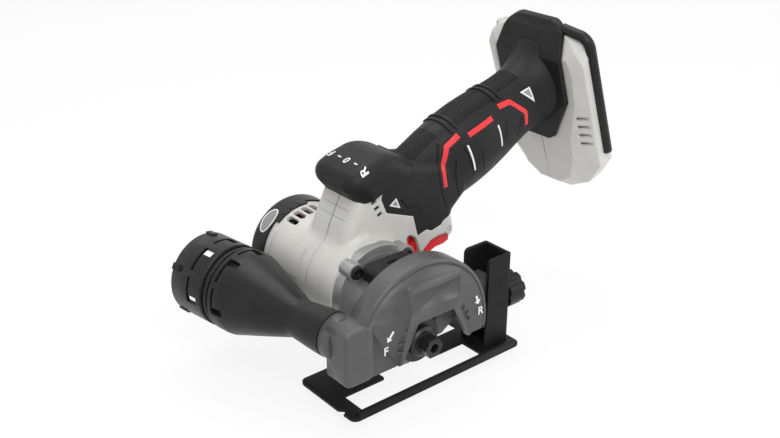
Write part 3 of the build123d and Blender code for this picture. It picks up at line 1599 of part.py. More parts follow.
with BuildPart() as trigger_lever:
    with BuildSketch(side_plane(part_y - trigger_half_w)) as paddle:
        with BuildLine():
            Polyline(trigger_outline, close=True)
        make_face()
        fillet(paddle.vertices(), paddle_round)
    extrude(amount=-2 * trigger_half_w)
    flanks = trigger_lever.edges().group_by(Axis.Y)
    fillet(flanks[0] + flanks[-1], paddle_round)
    add(bar(trigger_x, trigger_z, pin_r + running_gap, part_y - neck_half_w, part_y + neck_half_w),
        mode=Mode.SUBTRACT)
    add(bar(trigger_x, trigger_z, coil_pocket_r, part_y - spring_slot / 2, part_y + spring_slot / 2),
        mode=Mode.SUBTRACT)
write(trigger_lever, "trigger_lever")

with BuildPart() as lock_lever:
    with BuildSketch(side_plane(part_y - lever_half_w)) as paddle:
        with BuildLine():
            Polyline(lever_outline, close=True)
        make_face()
        fillet(paddle.vertices(), paddle_round)
    extrude(amount=-2 * lever_half_w)
    flanks = lock_lever.edges().group_by(Axis.Y)
    fillet(flanks[0] + flanks[-1], paddle_round)
    add(bar(lever_x, lever_z, pin_r + running_gap, part_y - neck_half_w, part_y + neck_half_w),
        mode=Mode.SUBTRACT)
    add(bar(lever_x, lever_z, coil_pocket_r, part_y - spring_slot / 2, part_y + spring_slot / 2),
        mode=Mode.SUBTRACT)
    for y in (part_y - rib_y0 - lever_rib_t - slide_gap, part_y + rib_y0 - slide_gap):
        with BuildSketch(side_plane(y)):
            with Locations((lever_x, lever_z - hub_r - 1 - slide_gap)):
                Rectangle(8 * hub_r, 4 * hub_r, align=(Align.CENTER, Align.MIN))
        extrude(amount=-(lever_rib_t + 2 * slide_gap), mode=Mode.SUBTRACT)
write(lock_lever, "lock_lever")

with BuildPart() as trigger_pin:
    add(bar(trigger_x, trigger_z, pin_r, part_y - trigger_pin_half, part_y + trigger_pin_half))
write(trigger_pin, "trigger_pin")

with BuildPart() as lever_pin:
    add(bar(lever_x, lever_z, pin_r, part_y - lever_pin_half, part_y + lever_pin_half))
write(lever_pin, "lever_pin")

spring_half = spring_pitch * spring_turns / 2

with BuildPart() as trigger_spring:
    add(coil((trigger_x, part_y - spring_half, trigger_z), (0, 1, 0), coil_r, spring_pitch, spring_turns,
             spring_wire_r))
write(trigger_spring, "trigger_spring")

with BuildPart() as lever_spring:
    add(coil((lever_x, part_y - spring_half, lever_z), (0, 1, 0), coil_r, spring_pitch, spring_turns,
             spring_wire_r))
write(lever_spring, "lever_spring")

with BuildPart() as switch_module:
    with BuildSketch(side_plane(part_y - switch_half_w)):
        with Locations((switch_x0 + switch_len / 2, switch_z0 + switch_h / 2)):
            Rectangle(switch_len, switch_h)
    extrude(amount=-2 * switch_half_w)
    chamfer(switch_module.edges().filter_by(Axis.Y), 1)
    with BuildSketch(Plane.XY.offset(switch_z0)):
        with Locations((switch_x0 + switch_len / 2, part_y)):
            Circle(plunger_r)
    extrude(amount=-plunger_len)
write(switch_module, "switch_module")

# Battery contacts
with BuildPart() as terminal_block:
    with BuildSketch(foot_plane(floor_u)):
        with Locations((0, block_v)):
            Rectangle(2 * block_half_w, block_h, align=(Align.CENTER, Align.MIN))
    extrude(amount=block_t)
    with BuildSketch(foot_plane(floor_u + blade_lift - fit_gap)):
        with Locations((0, block_v)):
            with GridLocations(blade_pitch, 0, blades, 1):
                Rectangle(blade_t + 2 * fit_gap, blade_seat, align=(Align.CENTER, Align.MIN))
    extrude(amount=blade_h + 2 * fit_gap, mode=Mode.SUBTRACT)
write(terminal_block, "terminal_block")

with BuildPart() as terminal_blades:
    with BuildSketch(foot_plane(floor_u + blade_lift)):
        with Locations((0, block_v + blade_seat)):
            with GridLocations(blade_pitch, 0, blades, 1):
                Rectangle(blade_t, blade_len, align=(Align.CENTER, Align.MAX))
    extrude(amount=blade_h)
write(terminal_blades, "terminal_blades")

# Leads: battery contacts to switch, switch to motor
def lead(points):
    """Insulated lead along rounded bends."""
    with BuildPart() as made:
        with BuildLine() as path:
            FilletPolyline(*points, radius=lead_bend)
        with BuildSketch(Plane(origin=path.line @ 0, z_dir=path.line % 0)):
            Circle(lead_r)
        sweep()
    return made.part


lead_v = block_v + block_h / 2
battery_lead_z = switch_z0 + 0.8 * switch_h
motor_lead_z = switch_z0 + 0.5 * switch_h
switch_x1 = switch_x0 + switch_len

with BuildPart() as battery_leads:
    for side in (-1, 1):
        add(lead([
            foot_point(floor_u, lead_v, side * tab_x), foot_point(lead_turn_u, lead_v, side * tab_x),
            (switch_x1 + 2.4 * lead_bend, part_y + side * tab_x, battery_lead_z + 2 * lead_bend),
            (switch_x1 + lead_bend, part_y + side * tab_x, battery_lead_z),
            (switch_x1, part_y + side * tab_x, battery_lead_z),
        ]))
write(battery_leads, "battery_leads")

with BuildPart() as motor_leads:
    for side in (-1, 1):
        add(lead([
            (switch_x0, part_y + side * tab_x, motor_lead_z), (root_x, part_y + side * tab_x, motor_lead_z),
            (side * tab_x, part_y + neck_half_w - lead_bend, lead_z), (side * tab_x, can_end, lead_z),
        ]))
write(motor_leads, "motor_leads")

# Shoe with its riser, and the depth clamp
shoe_top_z = sheet_t - shoe_drop
shoe_far_y = shoe_near_y + shoe_w
shoe_rear_x = shoe_front_x + shoe_len

with BuildPart() as base_plate:
    with BuildSketch(Plane.XY.offset(-shoe_drop)) as sheet:
        with Locations((shoe_front_x, shoe_near_y)):
            Rectangle(shoe_len, shoe_w, align=(Align.MIN, Align.MIN))
        fillet(sheet.vertices(), shoe_corner)
        with Locations((window_x0, shoe_near_y + rail_w)):
            Rectangle(window_x1 - window_x0, window_y1 - shoe_near_y - rail_w, align=(Align.MIN, Align.MIN),
                      mode=Mode.SUBTRACT)
        with Locations((bay_x0, window_y1 - 1)):
            Rectangle(bay_x1 - bay_x0, shoe_w, align=(Align.MIN, Align.MIN), mode=Mode.SUBTRACT)
        with Locations((shoe_front_x, 0)):
            Rectangle(2 * sheet_t, 2 * sheet_t, rotation=45, mode=Mode.SUBTRACT)
        with Locations((riser_x0 + rivet_edge, stud_y), (riser_x1 - sheet_t - rivet_edge, stud_y)):
            Circle(rivet_r + fit_gap, mode=Mode.SUBTRACT)
    extrude(amount=sheet_t)
    with BuildSketch(Plane.XY.offset(shoe_top_z)):
        with Locations((shoe_front_x + shoe_corner, shoe_near_y)):
            Rectangle(shoe_len - 2 * shoe_corner, sheet_t, align=(Align.MIN, Align.MIN))
        with Locations((shoe_rear_x, shoe_far_y - shoe_corner)):
            Rectangle(sheet_t, shoe_w / 3, align=(Align.MAX, Align.MAX))
    extrude(amount=rail_h - sheet_t)
write(base_plate, "base_plate")

with BuildPart() as riser_bracket:
    with BuildSketch(Plane.XY.offset(shoe_top_z)):
        with Locations((riser_x0, riser_y0)):
            Rectangle(riser_x1 - riser_x0, riser_w, align=(Align.MIN, Align.MIN))
        with Locations((riser_x0, riser_y0 + sheet_t)):
            Rectangle(riser_x1 - riser_x0 - sheet_t, riser_w - 2 * sheet_t, align=(Align.MIN, Align.MIN),
                      mode=Mode.SUBTRACT)
    extrude(amount=riser_h)
    fillet(riser_bracket.edges().filter_by(Axis.Y).group_by(Axis.Z)[-1].group_by(Axis.X)[0], riser_corner)
    fillet(riser_bracket.edges().filter_by(Axis.Z).group_by(Axis.X)[-1], riser_corner / 2)
    with BuildSketch(Plane.XY.offset(shoe_top_z)):
        with Locations((riser_x0, riser_y0 + sheet_t)):
            Rectangle(riser_x1 - riser_x0 - sheet_t, riser_w - 2 * sheet_t, align=(Align.MIN, Align.MIN))
        with Locations((riser_x0 + rivet_edge, stud_y), (riser_x1 - sheet_t - rivet_edge, stud_y)):
            Circle(rivet_r + fit_gap, mode=Mode.SUBTRACT)
    extrude(amount=sheet_t)
    with BuildSketch(Plane.YZ.offset(riser_x1 - 2 * sheet_t)):
        with Locations((stud_y, stud_z + (depth_down - depth_up) / 2)):
            slot_w = 2 * (stud_r + slide_gap)
            SlotOverall(depth_down + depth_up + slot_w, slot_w, rotation=90)
    extrude(amount=3 * sheet_t, mode=Mode.SUBTRACT)
write(riser_bracket, "riser_bracket")

with BuildPart() as shoe_rivets:
    with BuildSketch(Plane.XY.offset(-shoe_drop)):
        with Locations((riser_x0 + rivet_edge, stud_y), (riser_x1 - sheet_t - rivet_edge, stud_y)):
            Circle(rivet_r)
    extrude(amount=2 * sheet_t)
    with BuildSketch(Plane.XY.offset(shoe_top_z + sheet_t)):
        with Locations((riser_x0 + rivet_edge, stud_y), (riser_x1 - sheet_t - rivet_edge, stud_y)):
            Circle(rivet_head_r)
    extrude(amount=rivet_head_r - rivet_r)
write(shoe_rivets, "shoe_rivets")

knob_x = riser_x1 + slide_gap

with BuildPart() as depth_stud:
    with BuildSketch(Plane.YZ.offset(tongue_x1 - stud_seat)):
        with Locations((stud_y, stud_z)):
            Circle(stud_r)
    extrude(amount=knob_x + knob_hub_t + knob_t - tongue_x1 + stud_seat)
write(depth_stud, "depth_stud")

with BuildPart() as depth_knob:
    with BuildSketch(Plane.YZ.offset(knob_x)):
        with Locations((stud_y, stud_z)):
            Circle(knob_hub_r)
    extrude(amount=knob_hub_t)
    with BuildSketch(Plane.YZ.offset(knob_x + knob_hub_t)):
        with Locations((stud_y, stud_z)):
            Circle(knob_r)
            with PolarLocations(knob_r + knob_lobe_r / 2, knob_lobes):
                Circle(knob_lobe_r, mode=Mode.SUBTRACT)
    extrude(amount=knob_t)
    chamfer(depth_knob.edges().group_by(Axis.X)[-1], knob_edge)
    with BuildSketch(Plane.YZ.offset(knob_x)):
        with Locations((stud_y, stud_z)):
            Circle(stud_r + running_gap)
    extrude(amount=knob_hub_t + knob_t, mode=Mode.SUBTRACT)
write(depth_knob, "depth_knob")
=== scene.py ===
import json
import math

import bpy
from mathutils import Matrix, Vector


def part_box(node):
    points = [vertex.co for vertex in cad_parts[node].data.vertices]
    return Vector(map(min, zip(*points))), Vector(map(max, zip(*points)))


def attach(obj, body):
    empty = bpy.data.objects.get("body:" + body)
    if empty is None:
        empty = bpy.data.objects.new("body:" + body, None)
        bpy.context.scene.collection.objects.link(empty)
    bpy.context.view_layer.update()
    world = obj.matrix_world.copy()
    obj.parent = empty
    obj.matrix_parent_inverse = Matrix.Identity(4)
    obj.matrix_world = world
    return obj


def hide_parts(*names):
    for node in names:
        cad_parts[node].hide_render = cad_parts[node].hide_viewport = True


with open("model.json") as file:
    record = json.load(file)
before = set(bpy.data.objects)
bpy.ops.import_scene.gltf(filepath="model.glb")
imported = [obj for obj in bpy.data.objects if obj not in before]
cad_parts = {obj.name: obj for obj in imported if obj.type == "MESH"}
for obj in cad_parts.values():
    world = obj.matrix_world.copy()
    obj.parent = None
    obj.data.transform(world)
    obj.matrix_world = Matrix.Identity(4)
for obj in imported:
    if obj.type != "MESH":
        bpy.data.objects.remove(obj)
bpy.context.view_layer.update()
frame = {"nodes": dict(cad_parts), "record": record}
nodes = frame["nodes"]

# In metres: a millimetre, the gap that merges two corners, and the slack of a straight cut
MM = 0.001
SAME_PLACE = 0.00001
ON_THE_CUT = 0.000001
SMOOTH_BELOW = math.radians(35.0)
ORIGIN = (0.0, 0.0, 0.0)
ALONG_X = Vector((1.0, 0.0, 0.0))
ALONG_Y = Vector((0.0, 1.0, 0.0))
ALONG_Z = Vector((0.0, 0.0, 1.0))

# Stations of the tool in millimetres, repeated from its frame
part_y = 59.0
guard_face_y = -7.0
barrel_r = 28.0
barrel_z = 14.0
inset_centre = Vector((-19.8, 105.5, 35.2))
inset_out = Vector((-0.682, 0.0, 0.7314))
handle_foot = Vector((97.0, part_y, 74.6))
handle_tilt = math.radians(22.0)
handle_way = Vector((math.cos(handle_tilt), 0.0, math.sin(handle_tilt)))
handle_up = Vector((-math.sin(handle_tilt), 0.0, math.cos(handle_tilt)))
foot_tilt = math.radians(19.0)
foot_out = Vector((math.cos(foot_tilt), 0.0, math.sin(foot_tilt)))
foot_up = Vector((-math.sin(foot_tilt), 0.0, math.cos(foot_tilt)))
port_yaw = math.radians(8.8)
port_side = Vector((math.cos(port_yaw), math.sin(port_yaw), 0.0))
port_way = Vector((-math.sin(port_yaw), math.cos(port_yaw), 0.0))
port_mouth = Vector((-43.5, 12.0, 12.0)) + 5.0 * port_way


# Small helpers for shader trees

def noise(tree, place, size_mm, detail=3.0, roughness=0.55):
    """Cloudy variation with features of about the given size."""
    node = tree.nodes.new("ShaderNodeTexNoise")
    node.inputs["Scale"].default_value = 1.0 / (size_mm * MM)
    node.inputs["Detail"].default_value = detail
    node.inputs["Roughness"].default_value = roughness
    tree.links.new(place, node.inputs["Vector"])
    return node.outputs["Fac"]


def span(tree, value, low, high, to_low, to_high):
    """A value carried from one range to another, held at the ends."""
    node = tree.nodes.new("ShaderNodeMapRange")
    node.inputs["From Min"].default_value = low
    node.inputs["From Max"].default_value = high
    node.inputs["To Min"].default_value = to_low
    node.inputs["To Max"].default_value = to_high
    tree.links.new(value, node.inputs["Value"])
    return node.outputs["Result"]


def math_node(tree, operation, first, second=None):
    """One step of arithmetic on sockets or plain numbers."""
    node = tree.nodes.new("ShaderNodeMath")
    node.operation = operation
    for socket, value in zip(node.inputs, (first, second)):
        if value is None:
            continue
        if isinstance(value, (int, float)):
            socket.default_value = value
        else:
            tree.links.new(value, socket)
    return node.outputs["Value"]


def vector_node(tree, operation, first, second):
    """One step of vector arithmetic on a socket and a socket or a fixed vector."""
    node = tree.nodes.new("ShaderNodeVectorMath")
    node.operation = operation
    tree.links.new(first, node.inputs[0])
    if isinstance(second, (tuple, Vector)):
        node.inputs[1].default_value = second
    else:
        tree.links.new(second, node.inputs[1])
    return node.outputs["Value" if operation in ("DOT_PRODUCT", "DISTANCE") else "Vector"]


def tint(tree, share, first, second):
    """Colour between two colours by a share from 0 to 1; either may be a socket."""
    node = tree.nodes.new("ShaderNodeMix")
    node.data_type = "RGBA"
    tree.links.new(share, node.inputs["Factor"])
    for key, colour in (("A", first), ("B", second)):
        socket = [s for s in node.inputs if s.name == key and s.type == "RGBA"][0]
        if isinstance(colour, tuple):
            socket.default_value = (*colour, 1.0)
        else:
            tree.links.new(colour, socket)
    return [s for s in node.outputs if s.type == "RGBA"][0]


def rounded_normal(tree, radius_mm):
    """Normal that turns softly over the sharp edges of a moulded or cast piece."""
    node = tree.nodes.new("ShaderNodeBevel")
    node.samples = 6
    node.inputs["Radius"].default_value = radius_mm * MM
    return node.outputs["Normal"]


def edge_mask(tree, normal):
    """High where the rounded normal leaves the flat one, which is along edges."""
    flat = tree.nodes.new("ShaderNodeNewGeometry")
    alike = vector_node(tree, "DOT_PRODUCT", normal, flat.outputs["Normal"])
    return span(tree, alike, 0.72, 0.97, 1.0, 0.0)


def bump(tree, height, depth_mm, strength, normal):
    """Relief of a given depth over another normal."""
    node = tree.nodes.new("ShaderNodeBump")
    node.inputs["Strength"].default_value = strength
    node.inputs["Distance"].default_value = depth_mm * MM
    tree.links.new(height, node.inputs["Height"])
    tree.links.new(normal, node.inputs["Normal"])
    return node.outputs["Normal"]


def moulded(name, colour, dark, rough, grain_mm=0.25, grain_depth=0.03, edge_mm=0.5,
            edge_wear_and_painted_light=None, edge_wear_and_painted_light_share=0.5, specular=0.5, metallic=0.0):
    """Moulded or coated finish: fine grain, cloudy tone and gloss, soft edges, and a colour in patches
    along the edges that paints wear; on the guard and gear case it also paints edge highlight, and on the
    red inlays it paints groove shade.
    """
    cloud_mm, gloss_mm, patchy_wear_and_light_mm = 18.0, 6.0, 2.5
    gloss_swing = 0.05
    material = bpy.data.materials.new(name)
    material.use_nodes = True
    tree = material.node_tree
    shader = tree.nodes["Principled BSDF"]
    place = tree.nodes.new("ShaderNodeTexCoord").outputs["Object"]
    cloud = noise(tree, place, cloud_mm)
    tone = tint(tree, span(tree, cloud, 0.35, 0.65, 0.0, 1.0), colour, dark)
    normal = rounded_normal(tree, edge_mm)
    # Patchy colour along the edges paints wear, and on some finishes also painted highlight (guard, gear
    # case) and painted groove shade (red inlays)
    if edge_wear_and_painted_light is not None:
        patchy_wear_and_light = span(tree, noise(tree, place, patchy_wear_and_light_mm), 0.42, 0.68, 0.0, edge_wear_and_painted_light_share)
        tone = tint(tree, math_node(tree, "MULTIPLY", edge_mask(tree, normal), patchy_wear_and_light), tone, edge_wear_and_painted_light)
    tree.links.new(tone, shader.inputs["Base Color"])
    grain = noise(tree, place, grain_mm, detail=2.0)
    gloss = span(tree, noise(tree, place, gloss_mm), 0.3, 0.7, rough - gloss_swing, rough + gloss_swing)
    tree.links.new(gloss, shader.inputs["Roughness"])
    tree.links.new(bump(tree, grain, grain_depth, 0.5, normal), shader.inputs["Normal"])
    shader.inputs["Specular IOR Level"].default_value = specular
    shader.inputs["Metallic"].default_value = metallic
    return material


def place_in(tree):
    """The tool's own coordinates, in a finish that is mixed already."""
    return tree.nodes["Texture Coordinate"].outputs["Object"]


def line_mask(tree, place, start, end, half_mm):
    """High along a line between two points of the tool's side view, in millimetres of X and Z."""
    run = Vector((end[0] - start[0], 0.0, end[1] - start[1])) * MM
    flat = vector_node(tree, "MULTIPLY", place, (1.0, 0.0, 1.0))
    away = vector_node(tree, "SUBTRACT", flat, (start[0] * MM, 0.0, start[1] * MM))
    share = vector_node(tree, "DOT_PRODUCT", away, run / run.length_squared)
    share = span(tree, share, 0.0, 1.0, 0.0, 1.0)
    back = tree.nodes.new("ShaderNodeVectorMath")
    back.operation = "SCALE"
    back.inputs[0].default_value = run
    tree.links.new(share, back.inputs["Scale"])
    gap = vector_node(tree, "DISTANCE", away, back.outputs["Vector"])
    return span(tree, gap, 0.4 * half_mm * MM, half_mm * MM, 1.0, 0.0)


def pressed_line(material, mask, joint_and_shade_share, depth_mm):
    """The finish is darkened where the mask is high, and pressed in below its grain: a dark joint along a
    seam, and painted shade along grooves and steps.
    """
    joint_and_groove_shade = (0.004, 0.004, 0.004)
    tree = material.node_tree
    shader = tree.nodes["Principled BSDF"]
    colour = shader.inputs["Base Color"].links[0].from_socket
    colour = tint(tree, math_node(tree, "MULTIPLY", mask, joint_and_shade_share), colour, joint_and_groove_shade)
    tree.links.new(colour, shader.inputs["Base Color"])
    low = math_node(tree, "SUBTRACT", 1.0, mask)
    grain = shader.inputs["Normal"].links[0].from_socket
    tree.links.new(bump(tree, low, depth_mm, 1.0, grain), shader.inputs["Normal"])


def housing_grey_plastic():
    """Pale grey halves, with the dark line where they meet and two faint steps across the neck's front,
    each drawn as a pressed line of painted shade.
    """
    seam_mm, seam_fade_mm = 0.1, 0.22
    seam_low_z, seam_full_z = 40.0, 43.0
    step_mm, step_fade_mm, step_shade_share = 0.15, 0.4, 0.45
    step_half_mm, step_end_mm = 9.0, 12.0
    front_x = 2.0
    material = moulded("housing_grey_plastic", colour=(0.60, 0.595, 0.565), dark=(0.56, 0.555, 0.53),
                       rough=0.42, edge_mm=1.6)
    tree = material.node_tree
    place = place_in(tree)
    off = math_node(tree, "SUBTRACT", vector_node(tree, "DOT_PRODUCT", place, ALONG_Y), part_y * MM)
    away = math_node(tree, "ABSOLUTE", off)
    height = vector_node(tree, "DOT_PRODUCT", place, ALONG_Z)
    seam_and_step_shade = math_node(tree, "MULTIPLY", span(tree, away, seam_mm * MM, seam_fade_mm * MM, 1.0, 0.0),
                     span(tree, height, seam_low_z * MM, seam_full_z * MM, 0.0, 1.0))
    front = span(tree, vector_node(tree, "DOT_PRODUCT", place, ALONG_X), 0.0, front_x * MM, 1.0, 0.0)
    middle = span(tree, away, step_half_mm * MM, step_end_mm * MM, 1.0, 0.0)
    front = math_node(tree, "MULTIPLY", front, middle)
    # Two steps across the neck's front, pressed in and darkened along their lines as painted shade
    for step_z in (56.5, 51.5):
        over = math_node(tree, "ABSOLUTE", math_node(tree, "SUBTRACT", height, step_z * MM))
        step = span(tree, over, step_mm * MM, step_fade_mm * MM, step_shade_share, 0.0)
        seam_and_step_shade = math_node(tree, "MAXIMUM", seam_and_step_shade, math_node(tree, "MULTIPLY", step, front))
    pressed_line(material, seam_and_step_shade, 0.75, 0.15)
    return material


def soft_cover_rubber():
    """Black rubber cover with moulded lines beside the inlays: grooves pressed in and darkened with painted
    groove shade.
    """
    line_half_mm = 0.7
    material = moulded("soft_cover_rubber", colour=(0.015, 0.015, 0.0155), dark=(0.018, 0.018, 0.0185),
                       rough=0.48, edge_mm=1.2, specular=0.16)
    tree = material.node_tree
    place = place_in(tree)
    groove_shade_lines = None
    for route in (
        ((56.6, 79.0), (52.2, 66.3), (54.9, 52.2), (58.5, 43.0)),
        ((64.8, 70.0), (64.2, 62.0), (68.5, 45.8)),
        ((70.3, 76.4), (74.0, 68.0), (77.9, 57.8)),
        ((82.0, 72.0), (85.5, 60.0)),
        ((103.0, 83.8), (102.0, 73.5)),
        ((116.0, 84.0), (114.0, 76.0)),
        ((24.5, 57.0), (30.0, 50.0), (37.0, 50.5), (38.0, 46.0)),
    ):
        for start, end in zip(route, route[1:]):
            mask = line_mask(tree, place, start, end, line_half_mm)
            groove_shade_lines = mask if groove_shade_lines is None else math_node(tree, "MAXIMUM", groove_shade_lines, mask)
    pressed_line(material, groove_shade_lines, 0.85, 0.5)
    return material


# Finishes by the record's slots; the last six are of pieces inside the housing
finishes = {
    "housing_plastic": housing_grey_plastic(),
    "soft_grip": soft_cover_rubber(),
    # The near-black edge colour of the red inlays is painted shade of the grooves round them
    "accent_red": moulded(
        "red_inlay_rubber", colour=(0.74, 0.024, 0.030), dark=(0.68, 0.021, 0.027), rough=0.42,
        edge_mm=0.6, edge_wear_and_painted_light=(0.12, 0.004, 0.006), edge_wear_and_painted_light_share=0.9),
    "accent_white": moulded(
        "white_inlay_plastic", colour=(0.80, 0.80, 0.79), dark=(0.74, 0.74, 0.73), rough=0.4),
    "control_red": moulded(
        "red_control_plastic", colour=(0.84, 0.019, 0.028), dark=(0.78, 0.016, 0.024), rough=0.32),
    "black_plastic": moulded(
        "black_moulded_plastic", colour=(0.013, 0.013, 0.0135), dark=(0.016, 0.016, 0.0165), rough=0.36,
        edge_wear_and_painted_light=(0.05, 0.05, 0.052), edge_wear_and_painted_light_share=0.35, specular=0.2),
    "inset_grey": moulded(
        "grey_inset_plastic", colour=(0.27, 0.27, 0.272), dark=(0.24, 0.24, 0.242), rough=0.4),
    # The pale edge colour of the gear case paints its edge highlights as well as wear
    "gear_case_metal": moulded(
        "die_cast_gear_case", colour=(0.36, 0.36, 0.36), dark=(0.29, 0.29, 0.292), rough=0.4,
        grain_mm=0.6, grain_depth=0.06, edge_wear_and_painted_light=(0.8, 0.8, 0.8), edge_wear_and_painted_light_share=0.9, metallic=0.5),
    # The pale edge colour of the guard paints the highlight along its rounded rim as well as wear
    "guard_coat": moulded(
        "guard_coating", colour=(0.082, 0.082, 0.084), dark=(0.072, 0.072, 0.074), rough=0.36,
        grain_mm=0.35, grain_depth=0.04, edge_wear_and_painted_light=(0.3, 0.3, 0.3), edge_wear_and_painted_light_share=0.6, specular=0.35),
    "steel": moulded(
        "ground_steel", colour=(0.56, 0.56, 0.56), dark=(0.48, 0.48, 0.48), rough=0.3, metallic=1.0),
    "black_steel": moulded(
        "blackened_steel", colour=(0.022, 0.022, 0.023), dark=(0.016, 0.016, 0.017), rough=0.38,
        edge_wear_and_painted_light=(0.22, 0.22, 0.22), edge_wear_and_painted_light_share=0.6, metallic=0.4),
    "shoe_plate": moulded(
        "black_shoe_coat", colour=(0.016, 0.016, 0.0165), dark=(0.012, 0.012, 0.0125), rough=0.46,
        grain_mm=0.4, grain_depth=0.05, edge_wear_and_painted_light=(0.12, 0.12, 0.12), edge_wear_and_painted_light_share=0.4, specular=0.1),
    "magnet": moulded(
        "magnet_finish", colour=(0.06, 0.06, 0.065), dark=(0.04, 0.04, 0.045), rough=0.6, metallic=0.2),
    "winding": moulded(
        "winding_finish", colour=(0.42, 0.2, 0.09), dark=(0.3, 0.14, 0.06), rough=0.4, metallic=0.6),
    "bronze": moulded(
        "bronze_finish", colour=(0.52, 0.33, 0.14), dark=(0.42, 0.26, 0.1), rough=0.35, metallic=1.0),
    "inner_black": moulded(
        "inner_black_finish", colour=(0.03, 0.03, 0.032), dark=(0.022, 0.022, 0.024), rough=0.5),
    "carbon": moulded(
        "carbon_finish", colour=(0.02, 0.02, 0.02), dark=(0.03, 0.03, 0.03), rough=0.55),
    "lead_red": moulded(
        "lead_red_finish", colour=(0.4, 0.02, 0.02), dark=(0.34, 0.016, 0.016), rough=0.45),
}


def dress_nodes():
    """Each CAD node gets the finish of its record slot."""
    for subpart in frame["record"]["subparts"]:
        node = nodes[subpart["node"]]
        for material_slot in node.material_slots:
            material_slot.material = finishes[subpart["material_slot"]]


# Tools for modelling the pieces that the frame doesn't hold

def take(piece):
    """Only this piece is selected and active."""
    bpy.ops.object.select_all(action="DESELECT")
    piece.select_set(True)
    bpy.context.view_layer.objects.active = piece


def added(name):
    """The primitive that was just added, under its own name."""
    piece = bpy.context.object
    piece.name = name
    return piece


def edit_all():
    """Edit mode on the active piece, with all of it selected."""
    bpy.ops.object.mode_set(mode="EDIT")
    bpy.ops.mesh.select_all(action="SELECT")


def edit_done():
    """Back to object mode."""
    bpy.ops.object.mode_set(mode="OBJECT")


def trim(place, out):
    """In edit mode, the active piece loses what lies past a plane through a place in metres."""
    edit_all()
    bpy.ops.mesh.bisect(plane_co=place, plane_no=out, clear_outer=True, threshold=ON_THE_CUT)


def stand(piece, origin, across, up):
    """The piece's own X and Y turned to two ways of the tool, at a point in millimetres."""
    across = Vector(across).normalized()
    up = Vector(up).normalized()
    place = Matrix((across, up, across.cross(up))).transposed().to_4x4()
    place.translation = Vector(origin) * MM
    piece.matrix_world = place


def add_wall(piece, thickness_mm, offset=-1.0):
    """A modifier that gives a flat piece its thickness."""
    wall = piece.modifiers.new("wall", "SOLIDIFY")
    wall.thickness = thickness_mm * MM
    wall.offset = offset


def add_soft_edge(piece, width_mm, segments, sharper_than=30.0):
    """A modifier that rounds the edges sharper than an angle in degrees."""
    edge = piece.modifiers.new("edge", "BEVEL")
    edge.width = width_mm * MM
    edge.segments = segments
    edge.limit_method = "ANGLE"
    edge.angle_limit = math.radians(sharper_than)


def add_drop(piece, skin):
    """A modifier that drops a flat piece on the skin, against its own Z."""
    drop = piece.modifiers.new("drop", "SHRINKWRAP")
    drop.target = skin
    drop.wrap_method = "PROJECT"
    drop.use_project_z = True
    drop.use_negative_direction = True
    drop.use_positive_direction = False


def apply_modifiers(piece):
    """All modifiers of the piece go into its mesh, in their order."""
    take(piece)
    for modifier in list(piece.modifiers):
        bpy.ops.object.modifier_apply(modifier=modifier.name)


def settle(piece, body, slot):
    """The place goes into the mesh, and the piece gets its body and its slot's finish."""
    take(piece)
    bpy.ops.object.transform_apply(location=True, rotation=True, scale=True)
    if not piece.data.materials:
        piece.data.materials.append(finishes[slot])
    bpy.ops.object.shade_smooth_by_angle(angle=SMOOTH_BELOW)
    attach(piece, body)


def joined(pieces, name):
    """Several pieces made one."""
    bpy.ops.object.select_all(action="DESELECT")
    for piece in pieces:
        piece.select_set(True)
    bpy.context.view_layer.objects.active = pieces[0]
    bpy.ops.object.join()
    pieces[0].name = name
    return pieces[0]


def skin_of(*names):
    """A passing copy of some nodes, for pieces that lie on them."""
    copies = []
    for name in names:
        copy = nodes[name].copy()
        copy.data = nodes[name].data.copy()
        copy.parent = None
        copy.matrix_world = Matrix.Identity(4)
        bpy.context.scene.collection.objects.link(copy)
        copies.append(copy)
    return joined(copies, "passing_skin") if len(copies) > 1 else copies[0]


def merged_copy(node_name, name):
    """A node's own form as a new piece, its loose triangles merged."""
    piece = skin_of(node_name)
    piece.name = name
    take(piece)
    edit_all()
    bpy.ops.mesh.remove_doubles(threshold=SAME_PLACE)
    edit_done()
    return piece


def carve(piece, cutter, operation="DIFFERENCE", crossing=False):
    """The piece loses what lies in the cutter, or keeps only that; the cutter is used up."""
    cut = piece.modifiers.new("cut", "BOOLEAN")
    cut.object = cutter
    cut.operation = operation
    cut.solver = "EXACT"
    cut.use_self = crossing
    apply_modifiers(piece)
    bpy.data.objects.remove(cutter)


def flat_grid(name, width_mm, length_mm, cells_across, cells_along):
    """A flat grid of cells at the origin, at its size."""
    bpy.ops.object.select_all(action="DESELECT")
    bpy.ops.mesh.primitive_grid_add(x_subdivisions=cells_across, y_subdivisions=cells_along, size=1.0)
    piece = added(name)
    piece.scale = (width_mm * MM, length_mm * MM, 1.0)
    bpy.ops.object.transform_apply(location=False, rotation=False, scale=True)
    return piece


def edge_chain(name, start, moves):
    """A chain of edges from a start, one edge for each move, in metres."""
    bpy.ops.object.select_all(action="DESELECT")
    bpy.ops.mesh.primitive_plane_add(size=1.0 * MM)
    piece = added(name)
    edit_all()
    bpy.ops.mesh.merge(type="CENTER")
    bpy.ops.transform.translate(value=start)
    for move in moves:
        bpy.ops.mesh.extrude_region_move(TRANSFORM_OT_translate={"value": move})
    edit_done()
    return piece


def cut_plate(name, corners):
    """A flat plate cut from a square along the sides of a convex outline, corners anticlockwise."""
    bpy.ops.object.select_all(action="DESELECT")
    bpy.ops.mesh.primitive_plane_add(size=200.0 * MM)
    piece = added(name)
    for start, end in zip(corners, corners[1:] + corners[:1]):
        out = Vector((end[1] - start[1], start[0] - end[0], 0.0)).normalized()
        trim((start[0] * MM, start[1] * MM, 0.0), out)
    edit_done()
    return piece


